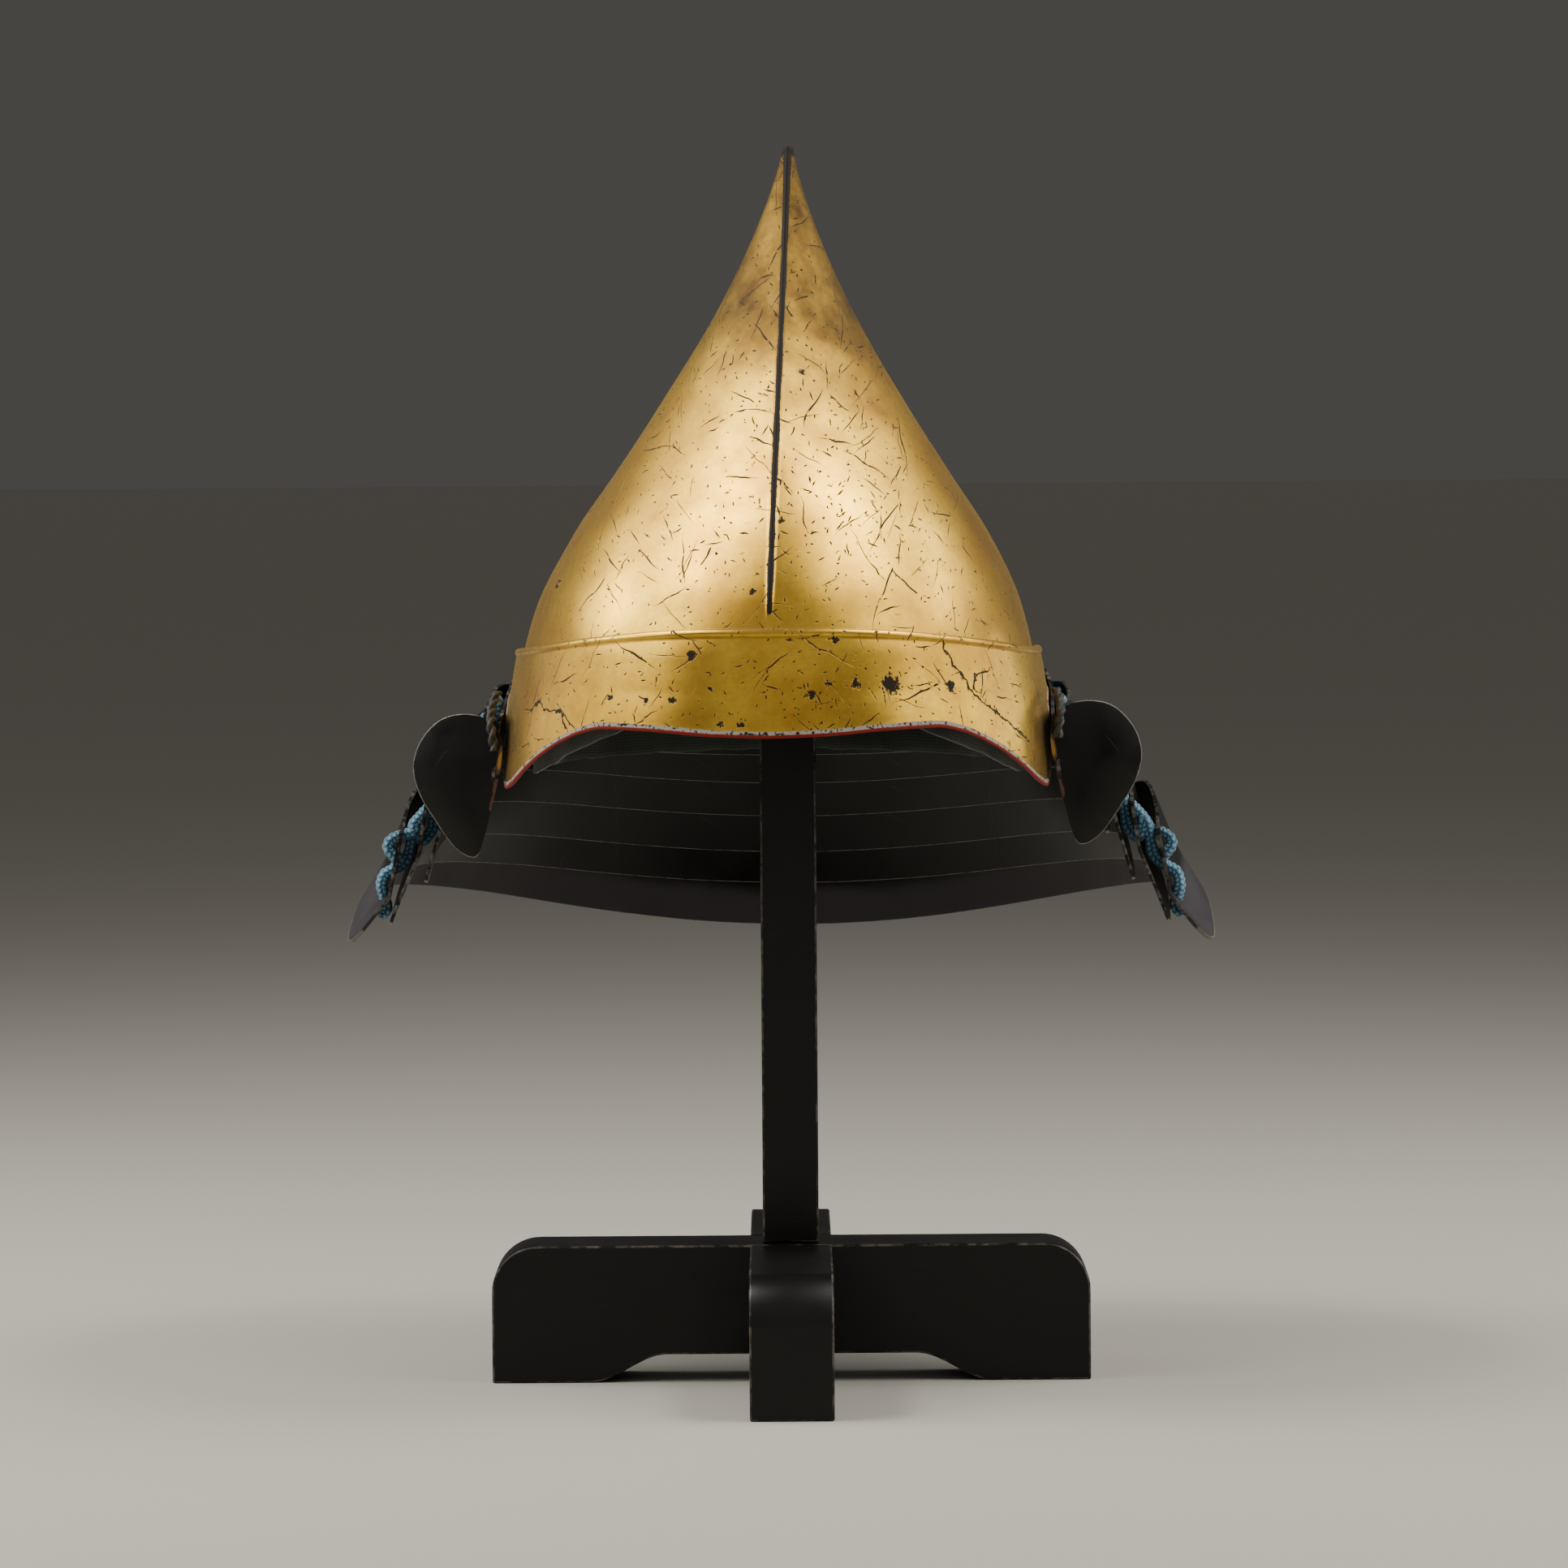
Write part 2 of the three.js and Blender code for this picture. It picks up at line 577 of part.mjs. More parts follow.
function extrudeBoard(shape) {
  const geometry = new THREE.ExtrudeGeometry(shape, {
    depth: BOARD_THICK - 2 * EDGE_BEVEL, curveSegments: 6, bevelEnabled: true,
    bevelSize: EDGE_BEVEL, bevelThickness: EDGE_BEVEL, bevelOffset: -EDGE_BEVEL, bevelSegments: 1,
  });
  geometry.translate(0, 0, EDGE_BEVEL - BOARD_THICK / 2);
  geometry.rotateX(Math.PI / 2);
  return geometry;
}

// The crosswise board: arched beneath, with a slot from below for the other board.
function makeCrosswiseBoard() {
  const half = BOARD_LENGTH / 2;
  const slot = BOARD_THICK / 2 + GAP;
  const shape = new THREE.Shape();
  shape.moveTo(-half, 0);
  shape.lineTo(-ARCH_FOOT, 0);
  shape.bezierCurveTo(-ARCH_FOOT + ARCH_EASE.foot, 0, -ARCH_FLAT - ARCH_EASE.flat, ARCH_RISE,
    -ARCH_FLAT, ARCH_RISE);
  shape.lineTo(-slot, ARCH_RISE);
  shape.lineTo(-slot, BOARD_HEIGHT / 2 + GAP / 2);
  shape.lineTo(slot, BOARD_HEIGHT / 2 + GAP / 2);
  shape.lineTo(slot, ARCH_RISE);
  shape.lineTo(ARCH_FLAT, ARCH_RISE);
  shape.bezierCurveTo(ARCH_FLAT + ARCH_EASE.flat, ARCH_RISE, ARCH_FOOT - ARCH_EASE.foot, 0,
    ARCH_FOOT, 0);
  shape.lineTo(half, 0);
  roundTopped(shape, half, BOARD_HEIGHT, BOARD_ROUND);
  roundBack(shape, half, BOARD_HEIGHT, BOARD_ROUND);
  return extrudeBoard(shape);
}

// The front-to-back board: flat beneath, with a slot from above.
function makeFrontToBackBoard() {
  const half = BOARD_LENGTH / 2;
  const slot = BOARD_THICK / 2 + GAP;
  const shape = new THREE.Shape();
  shape.moveTo(-half, 0);
  shape.lineTo(half, 0);
  roundTopped(shape, half, BOARD_HEIGHT, BOARD_ROUND);
  shape.lineTo(slot, BOARD_HEIGHT);
  shape.lineTo(slot, BOARD_HEIGHT / 2 - GAP / 2);
  shape.lineTo(-slot, BOARD_HEIGHT / 2 - GAP / 2);
  shape.lineTo(-slot, BOARD_HEIGHT);
  roundBack(shape, half, BOARD_HEIGHT, BOARD_ROUND);
  const geometry = extrudeBoard(shape);
  geometry.rotateZ(Math.PI / 2);
  return geometry;
}

function makePost() {
  const half = POST_SIDE / 2;
  const cut = EDGE_BEVEL;
  const shape = new THREE.Shape([
    [half, cut - half], [half, half - cut], [half - cut, half], [cut - half, half],
    [-half, half - cut], [-half, cut - half], [cut - half, -half], [half - cut, -half],
  ].map(([x, y]) => new THREE.Vector2(x, y)));
  const foot = BOARD_HEIGHT + GAP;
  const geometry = new THREE.ExtrudeGeometry(shape, {
    depth: POST_TOP - foot - 2 * EDGE_BEVEL, bevelEnabled: true, bevelSize: EDGE_BEVEL,
    bevelThickness: EDGE_BEVEL, bevelOffset: -EDGE_BEVEL, bevelSegments: 1,
  });
  geometry.translate(0, 0, foot + EDGE_BEVEL);
  return geometry;
}

function add(group, name, geometry, material) {
  const mesh = new THREE.Mesh(geometry, material);
  mesh.name = name;
  group.add(mesh);
  return mesh;
}

// The lames with their holes: each is cut by every lace, and the top one gains its turn-backs.
function addNeckGuard(group) {
  const cutters = LACE_ANGLES.map((angle) => toManifold(makeLace(angle, LACE_HOLE_ROOM)));
  for (const lame of LAMES) {
    let plate = toManifold(makeLame(lame));
    for (const cutter of cutters) plate = plate.subtract(cutter);
    if (lame === LAMES[0]) {
      for (const side of [-1, 1]) plate = plate.add(toManifold(makeTurnback(side)));
    }
    add(group, lame.name, fromManifold(plate), BLACK_LACQUER);
  }
  LACE_ANGLES.forEach((angle, i) => {
    add(group, `lacing_${LACE_NAMES[i]}`, makeLace(angle), BLUE_CORD);
  });
}

function makeHelmet() {
  const helmet = new THREE.Group();
  add(helmet, 'bowl', makeBowl(), GOLD);
  add(helmet, 'brow_peak', makeBrowPeak(), GOLD);
  add(helmet, 'lining', makeLining(), CLOTH);
  addNeckGuard(helmet);
  add(helmet, 'tie_right', makeTie(-1), LEATHER);
  add(helmet, 'tie_left', makeTie(1), LEATHER);
  helmet.position.x = HELMET_SHIFT;
  helmet.rotation.z = radians(HELMET_TURN);
  return helmet;
}

function makeStand() {
  const stand = new THREE.Group();
  add(stand, 'post', makePost(), WOOD_LACQUER);
  add(stand, 'crosswise_board', makeCrosswiseBoard(), WOOD_LACQUER);
  add(stand, 'front_to_back_board', makeFrontToBackBoard(), WOOD_LACQUER);
  return stand;
}

const kabuto = new THREE.Group();
kabuto.add(makeHelmet(), makeStand());

export default kabuto;
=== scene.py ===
"""Dresses the kabuto and its stand: meshes, finishes, floor, lights and camera.

Tables and sizes are in millimetres and degrees, in the helmet's own frame, and a Seat puts them
where the helmet rests on its post. The wearer faces -Y and +X is the wearer's left.
"""

import logging
import math
from dataclasses import dataclass, field
from enum import Enum
from typing import Callable, Mapping, Optional, Sequence, Union

import bmesh
import bpy
from mathutils import Matrix, Vector, noise


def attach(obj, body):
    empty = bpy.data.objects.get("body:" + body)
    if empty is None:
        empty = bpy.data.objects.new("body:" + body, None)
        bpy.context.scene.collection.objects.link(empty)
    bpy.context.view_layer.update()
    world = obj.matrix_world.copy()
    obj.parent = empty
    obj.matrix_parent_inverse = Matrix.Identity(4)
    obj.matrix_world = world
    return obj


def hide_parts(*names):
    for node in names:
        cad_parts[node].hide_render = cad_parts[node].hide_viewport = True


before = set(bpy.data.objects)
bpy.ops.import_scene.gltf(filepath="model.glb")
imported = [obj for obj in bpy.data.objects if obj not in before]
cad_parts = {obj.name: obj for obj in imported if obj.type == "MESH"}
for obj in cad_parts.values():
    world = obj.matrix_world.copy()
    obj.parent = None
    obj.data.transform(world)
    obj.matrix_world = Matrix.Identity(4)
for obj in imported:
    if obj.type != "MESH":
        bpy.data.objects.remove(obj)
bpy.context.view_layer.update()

LOG = logging.getLogger("kabuto")
MM = 0.001
BODY = "root"

Socket = bpy.types.NodeSocket
Place = Callable[[float, float], Vector]
Rule = Callable[[float, float], float]
Chart = Callable[[float, float], tuple[float, float]]


class Slot(Enum):
    """The record's material slots."""

    GILT = "gilt_lacquer"
    BLACK = "black_lacquer"
    CLOTH = "lining_cloth"
    CORD = "blue_cord"
    LEATHER = "tie_leather"
    STAND = "stand_lacquer"


class Side(Enum):
    """The wearer's two sides, by the sign of X."""

    RIGHT = -1
    LEFT = 1


# ---- Small sums ----


def lerp(low: float, high: float, share: float) -> float:
    """Return the value a share of the way from low to high."""
    return low + (high - low) * share


def smooth(value: float, low: float, high: float) -> float:
    """Return a step from 0 at low to 1 at high, with soft ends."""
    share = min(max((value - low) / (high - low), 0.0), 1.0)
    return share * share * (3.0 - 2.0 * share)


def faded(across: float, up: float, reach: float) -> float:
    """Return 1 at the middle of a spot, falling to 0 at its reach."""
    return max(0.0, 1 - math.hypot(across, up) / reach)


def waver(x: float, y: float, z: float, size: float) -> float:
    """Return smooth noise from -1 to 1 that changes over size millimetres.

    Args:
        x: Place along X, in millimetres.
        y: Place along Y, in millimetres.
        z: Place along Z, in millimetres.
        size: How far apart the noise's swells are, in millimetres.

    Returns:
        The noise there.
    """
    return noise.noise(Vector((x, y, z)) / size)


def linear(code: str) -> tuple[float, float, float, float]:
    """Turn an sRGB hex colour into a linear one.

    Args:
        code: The colour, as "#rrggbb".

    Returns:
        Red, green, blue and an alpha of 1.
    """
    parts = [int(code[i : i + 2], 16) / 255 for i in (1, 3, 5)]
    red, green, blue = (
        part / 12.92 if part <= 0.04045 else ((part + 0.055) / 1.055) ** 2.4
        for part in parts
    )
    return red, green, blue, 1.0


class Table:
    """Rows that start with a rising key, read on a smooth curve that never overshoots them."""

    def __init__(self, *rows: tuple[float, ...]) -> None:
        """Keep the rows and the curve's slope at each.

        Args:
            rows: The key and its values, one tuple a row, with rising keys.
        """
        self.rows = rows
        self.slopes = [self._slope(index) for index in range(len(rows))]

    def _slope(self, index: int) -> list[float]:
        """Find the slopes at a row.

        Args:
            index: The row.

        Returns:
            A slope for each of its values.
        """
        last = len(self.rows) - 1
        if index in (0, last):
            low, high = (0, 1) if index == 0 else (last - 1, last)
            return self._secants(low, high)
        before = self._secants(index - 1, index)
        after = self._secants(index, index + 1)
        slopes = []
        for left, right in zip(before, after):
            slopes.append(0.0 if left * right <= 0 else 2 * left * right / (left + right))
        return slopes

    def _secants(self, low: int, high: int) -> list[float]:
        """Find the straight slopes between two rows.

        Args:
            low: The first row.
            high: The second.

        Returns:
            A slope for each value.
        """
        span = self.rows[high][0] - self.rows[low][0]
        return [
            (b - a) / span for a, b in zip(self.rows[low][1:], self.rows[high][1:])
        ]

    def at(self, key: float) -> list[float]:
        """Read every value at a key.

        Args:
            key: Where to read. Past either end it reads that end's row.

        Returns:
            The values there.
        """
        rows = self.rows
        if key <= rows[0][0]:
            return list(rows[0][1:])
        if key >= rows[-1][0]:
            return list(rows[-1][1:])
        high = next(i for i, row in enumerate(rows) if row[0] >= key)
        low = high - 1
        span = rows[high][0] - rows[low][0]
        share = (key - rows[low][0]) / span
        rise = share * share * (3 - 2 * share)
        leave = share * (1 - share) ** 2 * span
        arrive = share * share * (share - 1) * span
        return [
            lerp(a, b, rise) + leave * out + arrive * into
            for a, b, out, into in zip(
                rows[low][1:], rows[high][1:], self.slopes[low], self.slopes[high]
            )
        ]

    def one(self, key: float) -> float:
        """Read the first value at a key."""
        return self.at(key)[0]


class Route:
    """A smooth path through points, read at even steps of its length."""

    FINE = 14

    def __init__(self, points: Sequence[Vector], closed: bool = False) -> None:
        """Sample the curve through the points.

        Args:
            points: The points that the path goes through.
            closed: Whether it returns to its first point.
        """
        self.samples: list[Vector] = []
        count = len(points)
        for i in range(count if closed else count - 1):
            around = [
                points[(i + k) % count] if closed else points[min(max(i + k, 0), count - 1)]
                for k in (-1, 0, 1, 2)
            ]
            self.samples += [self._between(around, j / self.FINE) for j in range(self.FINE)]
        self.samples.append(points[0].copy() if closed else points[-1].copy())
        self.lengths = [0.0]
        for low, high in zip(self.samples, self.samples[1:]):
            self.lengths.append(self.lengths[-1] + (high - low).length)

    @staticmethod
    def _between(around: Sequence[Vector], share: float) -> Vector:
        """Find a point of the curve between the middle two of four points.

        Args:
            around: The four points.
            share: Share of the way from the second to the third.

        Returns:
            The point.
        """
        before, low, high, after = around
        return 0.5 * (
            2 * low
            + (high - before) * share
            + (2 * before - 5 * low + 4 * high - after) * share**2
            + (3 * low - before - 3 * high + after) * share**3
        )

    @property
    def length(self) -> float:
        """Return the path's length."""
        return self.lengths[-1]

    def at(self, share: float) -> Vector:
        """Return the point a share of the way along.

        Args:
            share: From 0 at the start to 1 at the end.

        Returns:
            The point.
        """
        reach = min(max(share, 0.0), 1.0) * self.length
        low, high = 0, len(self.lengths) - 1
        while high - low > 1:
            middle = (low + high) // 2
            if self.lengths[middle] <= reach:
                low = middle
            else:
                high = middle
        span = max(self.lengths[high] - self.lengths[low], 1e-9)
        return self.samples[low].lerp(self.samples[high], (reach - self.lengths[low]) / span)

    def heading(self, share: float) -> Vector:
        """Return the way the path runs there, one unit long."""
        step = 0.004
        return (self.at(share + step) - self.at(share - step)).normalized()


# ---- Making pieces ----


@dataclass(frozen=True)
class Seat:
    """How the helmet sits on its post: turned a little, and a little to one side."""

    turn: float = -2.0
    shift: float = -3.5

    def placed(self, point: Vector) -> Vector:
        """Move a point of the helmet's own frame to its place on the stand.

        Args:
            point: The point, in millimetres.

        Returns:
            The point in the part's frame, in metres.
        """
        turned = Matrix.Rotation(math.radians(self.turn), 3, "Z") @ point
        return (turned + Vector((self.shift, 0, 0))) * MM


@dataclass
class Shell:
    """A grid whose points a rule puts in place, with a chart and marks for its finish."""

    columns: int
    rows: int
    place: Place
    chart: Chart = lambda u, v: (u, v)
    marks: Mapping[str, Rule] = field(default_factory=dict)
    closed: bool = False
    poles: tuple[float, ...] = ()
    inside: Vector = field(default_factory=lambda: Vector((0, 0, 0.3)))

    def build(self) -> bmesh.types.BMesh:
        """Make the mesh.

        Returns:
            The mesh, with faces that look away from the inside point.
        """
        bm = bmesh.new()
        bmesh.ops.create_grid(bm, x_segments=self.columns, y_segments=self.rows, size=0.5)
        charted = bm.loops.layers.uv.new("Surface")
        layers = {name: bm.verts.layers.float.new(name) for name in self.marks}
        shares = {vert: (vert.co.x + 0.5, vert.co.y + 0.5) for vert in bm.verts}
        for face in bm.faces:
            face.smooth = True
            for loop in face.loops:
                loop[charted].uv = self.chart(*shares[loop.vert])
        meeting = []
        for vert, (u, v) in shares.items():
            for name, layer in layers.items():
                vert[layer] = self.marks[name](u, v)
            vert.co = self.place(u, v)
            on_seam = self.closed and min(u, 1 - u) < 1e-6
            if on_seam or any(abs(v - pole) < 1e-6 for pole in self.poles):
                meeting.append(vert)
        if meeting:
            bmesh.ops.remove_doubles(bm, verts=meeting, dist=1e-6)
        self.turn_outwards(bm)
        return bm

    def turn_outwards(self, bm: bmesh.types.BMesh) -> None:
        """Turn all faces away from the inside point, if they look at it.

        Args:
            bm: The mesh.
        """
        bm.normal_update()
        facing = sum(
            face.calc_area() * face.normal.dot(face.calc_center_median() - self.inside)
            for face in bm.faces
        )
        if facing < 0:
            bmesh.ops.reverse_faces(bm, faces=bm.faces[:])
            bm.normal_update()


def close_ends(bm: bmesh.types.BMesh) -> None:
    """Fill the open ends of a tube."""
    rims = [edge for edge in bm.edges if edge.is_boundary]
    bmesh.ops.holes_fill(bm, edges=rims, sides=0)


def make_piece(
    name: str,
    bm: bmesh.types.BMesh,
    finishes: Sequence[bpy.types.Material],
    slot: Slot,
    replaces: Sequence[str] = (),
) -> bpy.types.Object:
    """Turn a mesh into a piece of the object.

    Args:
        name: The piece's name.
        bm: The mesh, in place, in metres. It is freed.
        finishes: The piece's materials.
        slot: The record's slot for the piece. It is not used.
        replaces: The CAD nodes that it stands for.

    Returns:
        The piece.
    """
    mesh = bpy.data.meshes.new(name)
    bm.to_mesh(mesh)
    bm.free()
    piece = bpy.data.objects.new(name, mesh)
    bpy.context.scene.collection.objects.link(piece)
    for finish in finishes:
        mesh.materials.append(finish)
    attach(piece, BODY)
    if replaces:
        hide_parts(*replaces)
    LOG.info("%s: %d faces", name, len(mesh.polygons))
    return piece


def thicken(
    piece: bpy.types.Object, wall: float, offset: float, round_by: float = 0.0, lined: bool = False
) -> None:
    """Give a sheet its wall, and round its edges.

    Args:
        piece: The sheet.
        wall: Its thickness, in millimetres.
        offset: -1 for a wall inside the sheet, 0 for one on both sides, 1 for one outside it.
        round_by: How far its edges are rounded, in millimetres.
        lined: Whether the inside takes the piece's second material.
    """
    walled = piece.modifiers.new("Wall", "SOLIDIFY")
    walled.thickness = wall * MM
    walled.offset = offset
    walled.use_even_offset = False
    if lined:
        walled.material_offset = 1
    if round_by:
        rounded = piece.modifiers.new("Edges", "BEVEL")
        rounded.width = round_by * MM
        rounded.segments = 2
        rounded.limit_method = "ANGLE"
        rounded.angle_limit = math.radians(50)
        rounded.harden_normals = False


# ---- Finishes ----

Value = Union[Socket, float, tuple, str]

# The output and the settings that a kind of node has here, unless a call says otherwise: colours
# are mixed, an attribute is read as a number, and coordinates are the part's own.
USUAL: Mapping[str, tuple[int, dict[str, str]]] = {
    "Mix": (2, {"data_type": "RGBA"}),
    "Attribute": (2, {}),
    "TexCoord": (3, {}),
}


class Recipe:
    """A material's nodes, added one at a time round one Principled shader."""

    def __init__(self, name: str) -> None:
        """Start a material.

        Args:
            name: The material's name.
        """
        self.material = bpy.data.materials.new(name)
        self.material.use_nodes = True
        self.tree = self.material.node_tree
        self.shader = self.tree.nodes["Principled BSDF"]

    def add(
        self, kind: str, inputs: Mapping[Union[int, str], Value], out: Optional[int] = None,
        **settings: object,
    ) -> Socket:
        """Add a node with its settings and links.

        Args:
            kind: The node's type, without its ShaderNode prefix.
            inputs: What goes into each socket: another socket, or a value.
            out: Which of its outputs is wanted, if not the usual one.
            settings: The node's own settings.

        Returns:
            That output.
        """
        made = self.tree.nodes.new("ShaderNode" + kind)
        usual_out, usual_settings = USUAL.get(kind, (0, {}))
        for name, value in {**usual_settings, **settings}.items():
            setattr(made, name, value)
        for key, value in inputs.items():
            if isinstance(value, Socket):
                self.tree.links.new(value, made.inputs[key])
            else:
                made.inputs[key].default_value = value
        return made.outputs[usual_out if out is None else out]

    def chart(self) -> Socket:
        """Return the surface's own chart, in millimetres."""
        return self.add("VectorMath", {0: self.add("UVMap", {}, uv_map="Surface"), "Scale": 1000.0},
                        operation="SCALE")

    def finish(self, **sockets: Value) -> bpy.types.Material:
        """Set the shader's own sockets.

        Args:
            sockets: A value or a link for each, with _ for the spaces in its name.

        Returns:
            The finished material.
        """
        for name, value in sockets.items():
            socket = self.shader.inputs[name.replace("_", " ")]
            if isinstance(value, Socket):
                self.tree.links.new(value, socket)
            else:
                socket.default_value = value
        return self.material


@dataclass(frozen=True)
class Scratches:
    """Thin stray strokes, one to a cell of the surface, each at its own slant and length."""

    cell: float
    length: float
    width: float
    share: float
    offset: float

    def drawn(self, recipe: Recipe, chart: Socket, more: Socket) -> Socket:
        """Add the nodes that draw them.

        Args:
            recipe: The material.
            chart: The surface's own chart, in millimetres.
            more: Raises how many there are, from 0 to 1.

        Returns:
            1 on a stroke and 0 off it.
        """
        add = recipe.add
        moved = add("VectorMath", {0: chart, 1: (self.offset, self.offset * 0.7, 0)},
                    operation="ADD")
        wander = add("TexNoise", {"Vector": moved, "Scale": 2.2 / self.cell, "Detail": 1.0}, out=1,
                     noise_dimensions="2D")
        wander = add("VectorMath", {0: wander, 1: (0.5, 0.5, 0.5)}, operation="SUBTRACT")
        wander = add("VectorMath", {0: wander, "Scale": self.cell * 0.14}, operation="SCALE")
        bent = add("VectorMath", {0: moved, 1: wander}, operation="ADD")
        cells = {"Vector": bent, "Scale": 1 / self.cell, "Randomness": 1.0}
        centre = add("TexVoronoi", cells, out=2, voronoi_dimensions="2D")
        chance = add("TexVoronoi", cells, out=1, voronoi_dimensions="2D")
        slant = add("SeparateColor", {0: chance}, out=0)
        reach = add("SeparateColor", {0: chance}, out=1)
        luck = add("SeparateColor", {0: chance}, out=2)
        away = add("VectorMath", {0: bent, 1: centre}, operation="SUBTRACT")
        turn = add("Math", {0: slant, 1: 6.28}, operation="MULTIPLY")
        lying = add("VectorRotate", {"Vector": away, "Angle": turn}, rotation_type="Z_AXIS")
        along = add("SeparateXYZ", {0: lying}, out=0)
        across = add("Math", {0: add("SeparateXYZ", {0: lying}, out=1)}, operation="ABSOLUTE")
        half = add("MapRange", {0: reach, 3: self.length * 0.15, 4: self.length * 0.5})
        ratio = add("Math", {0: along, 1: half}, operation="DIVIDE")
        taper = add("Math", {0: add("Math", {0: ratio, 1: ratio}, operation="MULTIPLY"),
                             1: -self.width, 2: self.width}, operation="MULTIPLY_ADD")
        depth = add("Math", {0: taper, 1: across}, operation="SUBTRACT")
        line = add("MapRange", {0: depth, 1: 0.0, 2: self.width * 0.5})
        allowed = add("Math", {0: more, 1: 0.6, 2: self.share}, operation="MULTIPLY_ADD")
        present = add("Math", {0: luck, 1: allowed}, operation="LESS_THAN")
        return add("Math", {0: line, 1: present}, operation="MULTIPLY")


@dataclass(frozen=True)
class GiltLacquer:
    """Gold leaf laid on lacquered iron, under a thin old coat of clear lacquer.

    The leaf reflects like rubbed metal, so light spreads in wide soft bands. It is mottled, darker
    and duller in clouds toward the tip, dark where it is scratched through to the black ground, and
    black where the seam and the rim have been rubbed bare.
    """

    leaf: str = "#e3b63a"
    deep: str = "#a87a22"
    pale: str = "#f0c742"
    tip_dark: str = "#2f200d"
    ground: str = "#17110d"
    scratch: str = "#22170d"
    red: str = "#7c1f18"
    grey: str = "#8e8980"
    dust: str = "#d8d2c6"
    scratches: tuple[Scratches, ...] = (
        Scratches(36, 52, 0.5, 0.6, 13.0),
        Scratches(18, 22, 0.44, 0.4, 71.0),
        Scratches(9, 8, 0.42, 0.3, 157.0),
        Scratches(4.5, 3, 0.42, 0.2, 501.0),
        Scratches(24, 34, 0.26, 0.6, 311.0),
    )

    def gilded(self, recipe: Recipe, chart: Socket, clouds: Socket, mottle: Socket) -> Socket:
        """Add the leaf's own colour: paler and browner clouds, a fine mottle and brushed streaks.

        Args:
            recipe: The material.
            chart: The surface's own chart, in millimetres.
            clouds: Noise with swells a few centimetres wide.
            mottle: Noise with swells about 2 mm wide.

        Returns:
            The colour.
        """
        add = recipe.add
        colour = add("ValToRGB", {0: clouds})
        ramp = colour.node.color_ramp
        ramp.elements[0].position, ramp.elements[0].color = 0.32, linear(self.deep)
        ramp.elements[1].position, ramp.elements[1].color = 0.62, linear(self.leaf)
        ramp.elements.new(0.85).color = linear(self.pale)
        dim = add("MapRange", {0: mottle, 1: 0.3, 2: 0.7, 3: 0.0, 4: 0.34})
        colour = add("Mix", {0: dim, 6: colour, 7: linear(self.deep)})
        drawn_out = add("Mapping", {"Vector": chart, "Scale": (0.09, 0.5, 1),
                        "Rotation": (0, 0, 0.5)})
        brushed = add("TexNoise", {"Vector": drawn_out, "Scale": 1.0, "Detail": 4.0,
                      "Roughness": 0.7})
        streak = add("MapRange", {0: brushed, 1: 0.55, 2: 0.8, 3: 0.0, 4: 0.4})
        return add("Mix", {0: streak, 6: colour, 7: linear(self.deep)})

    def tip_darkening(self, recipe: Recipe, place: Socket, clouds: Socket) -> Socket:
        """Add how much darker and duller the leaf is made: in clouds toward the tip.

        Args:
            recipe: The material.
            place: The place in the part's frame, in metres.
            clouds: Noise with swells a few centimetres wide.

        Returns:
            From 0 to a little over 1.
        """
        height = recipe.add("SeparateXYZ", {0: place}, out=2)
        rising = recipe.add("MapRange", {0: height, 1: 0.38, 2: 0.46})
        patchy = recipe.add("MapRange", {0: clouds, 1: 0.25, 2: 0.6, 3: 1.15, 4: 0.7})
        return recipe.add("Math", {0: rising, 1: patchy}, operation="MULTIPLY")

    def scratched(self, recipe: Recipe, chart: Socket, scuffed: Socket) -> Socket:
        """Add the scratches: long hairlines down to nicks, all broken here and there.

        Args:
            recipe: The material.
            chart: The surface's own chart, in millimetres.
            scuffed: Where there are more of them, from 0 to 1.

        Returns:
            1 on a scratch and 0 off it.
        """
        add = recipe.add
        strokes, *others = (layer.drawn(recipe, chart, scuffed) for layer in self.scratches)
        for drawn in others:
            strokes = add("Math", {0: strokes, 1: drawn}, operation="MAXIMUM")
        broken = add("TexNoise", {"Vector": chart, "Scale": 0.35, "Detail": 3.0},
                     noise_dimensions="2D")
        broken = add("MapRange", {0: broken, 1: 0.32, 2: 0.42, 3: 0.2})
        return add("Math", {0: strokes, 1: broken}, operation="MULTIPLY")

    def chipped(self, recipe: Recipe, chart: Socket, ragged: Socket, near: Socket) -> Socket:
        """Add the chips: irregular patches round each mark, and small specks all over.

        Args:
            recipe: The material.
            chart: The surface's own chart, in millimetres.
            ragged: Noise that makes their outlines uneven.
            near: How near the nearest mark is.

        Returns:
            1 on a chip and 0 off it.
        """
        add = recipe.add
        chip = add("Math", {0: ragged, 1: 0.9, 2: near}, operation="MULTIPLY_ADD")
        chip = add("MapRange", {0: chip, 1: 1.0, 2: 1.08})
        specks = add("TexNoise", {"Vector": chart, "Scale": 0.42, "Detail": 1.0},
                     noise_dimensions="2D")
        specks = add("MapRange", {0: specks, 1: 0.79, 2: 0.82})
        return add("Math", {0: chip, 1: specks}, operation="MAXIMUM")

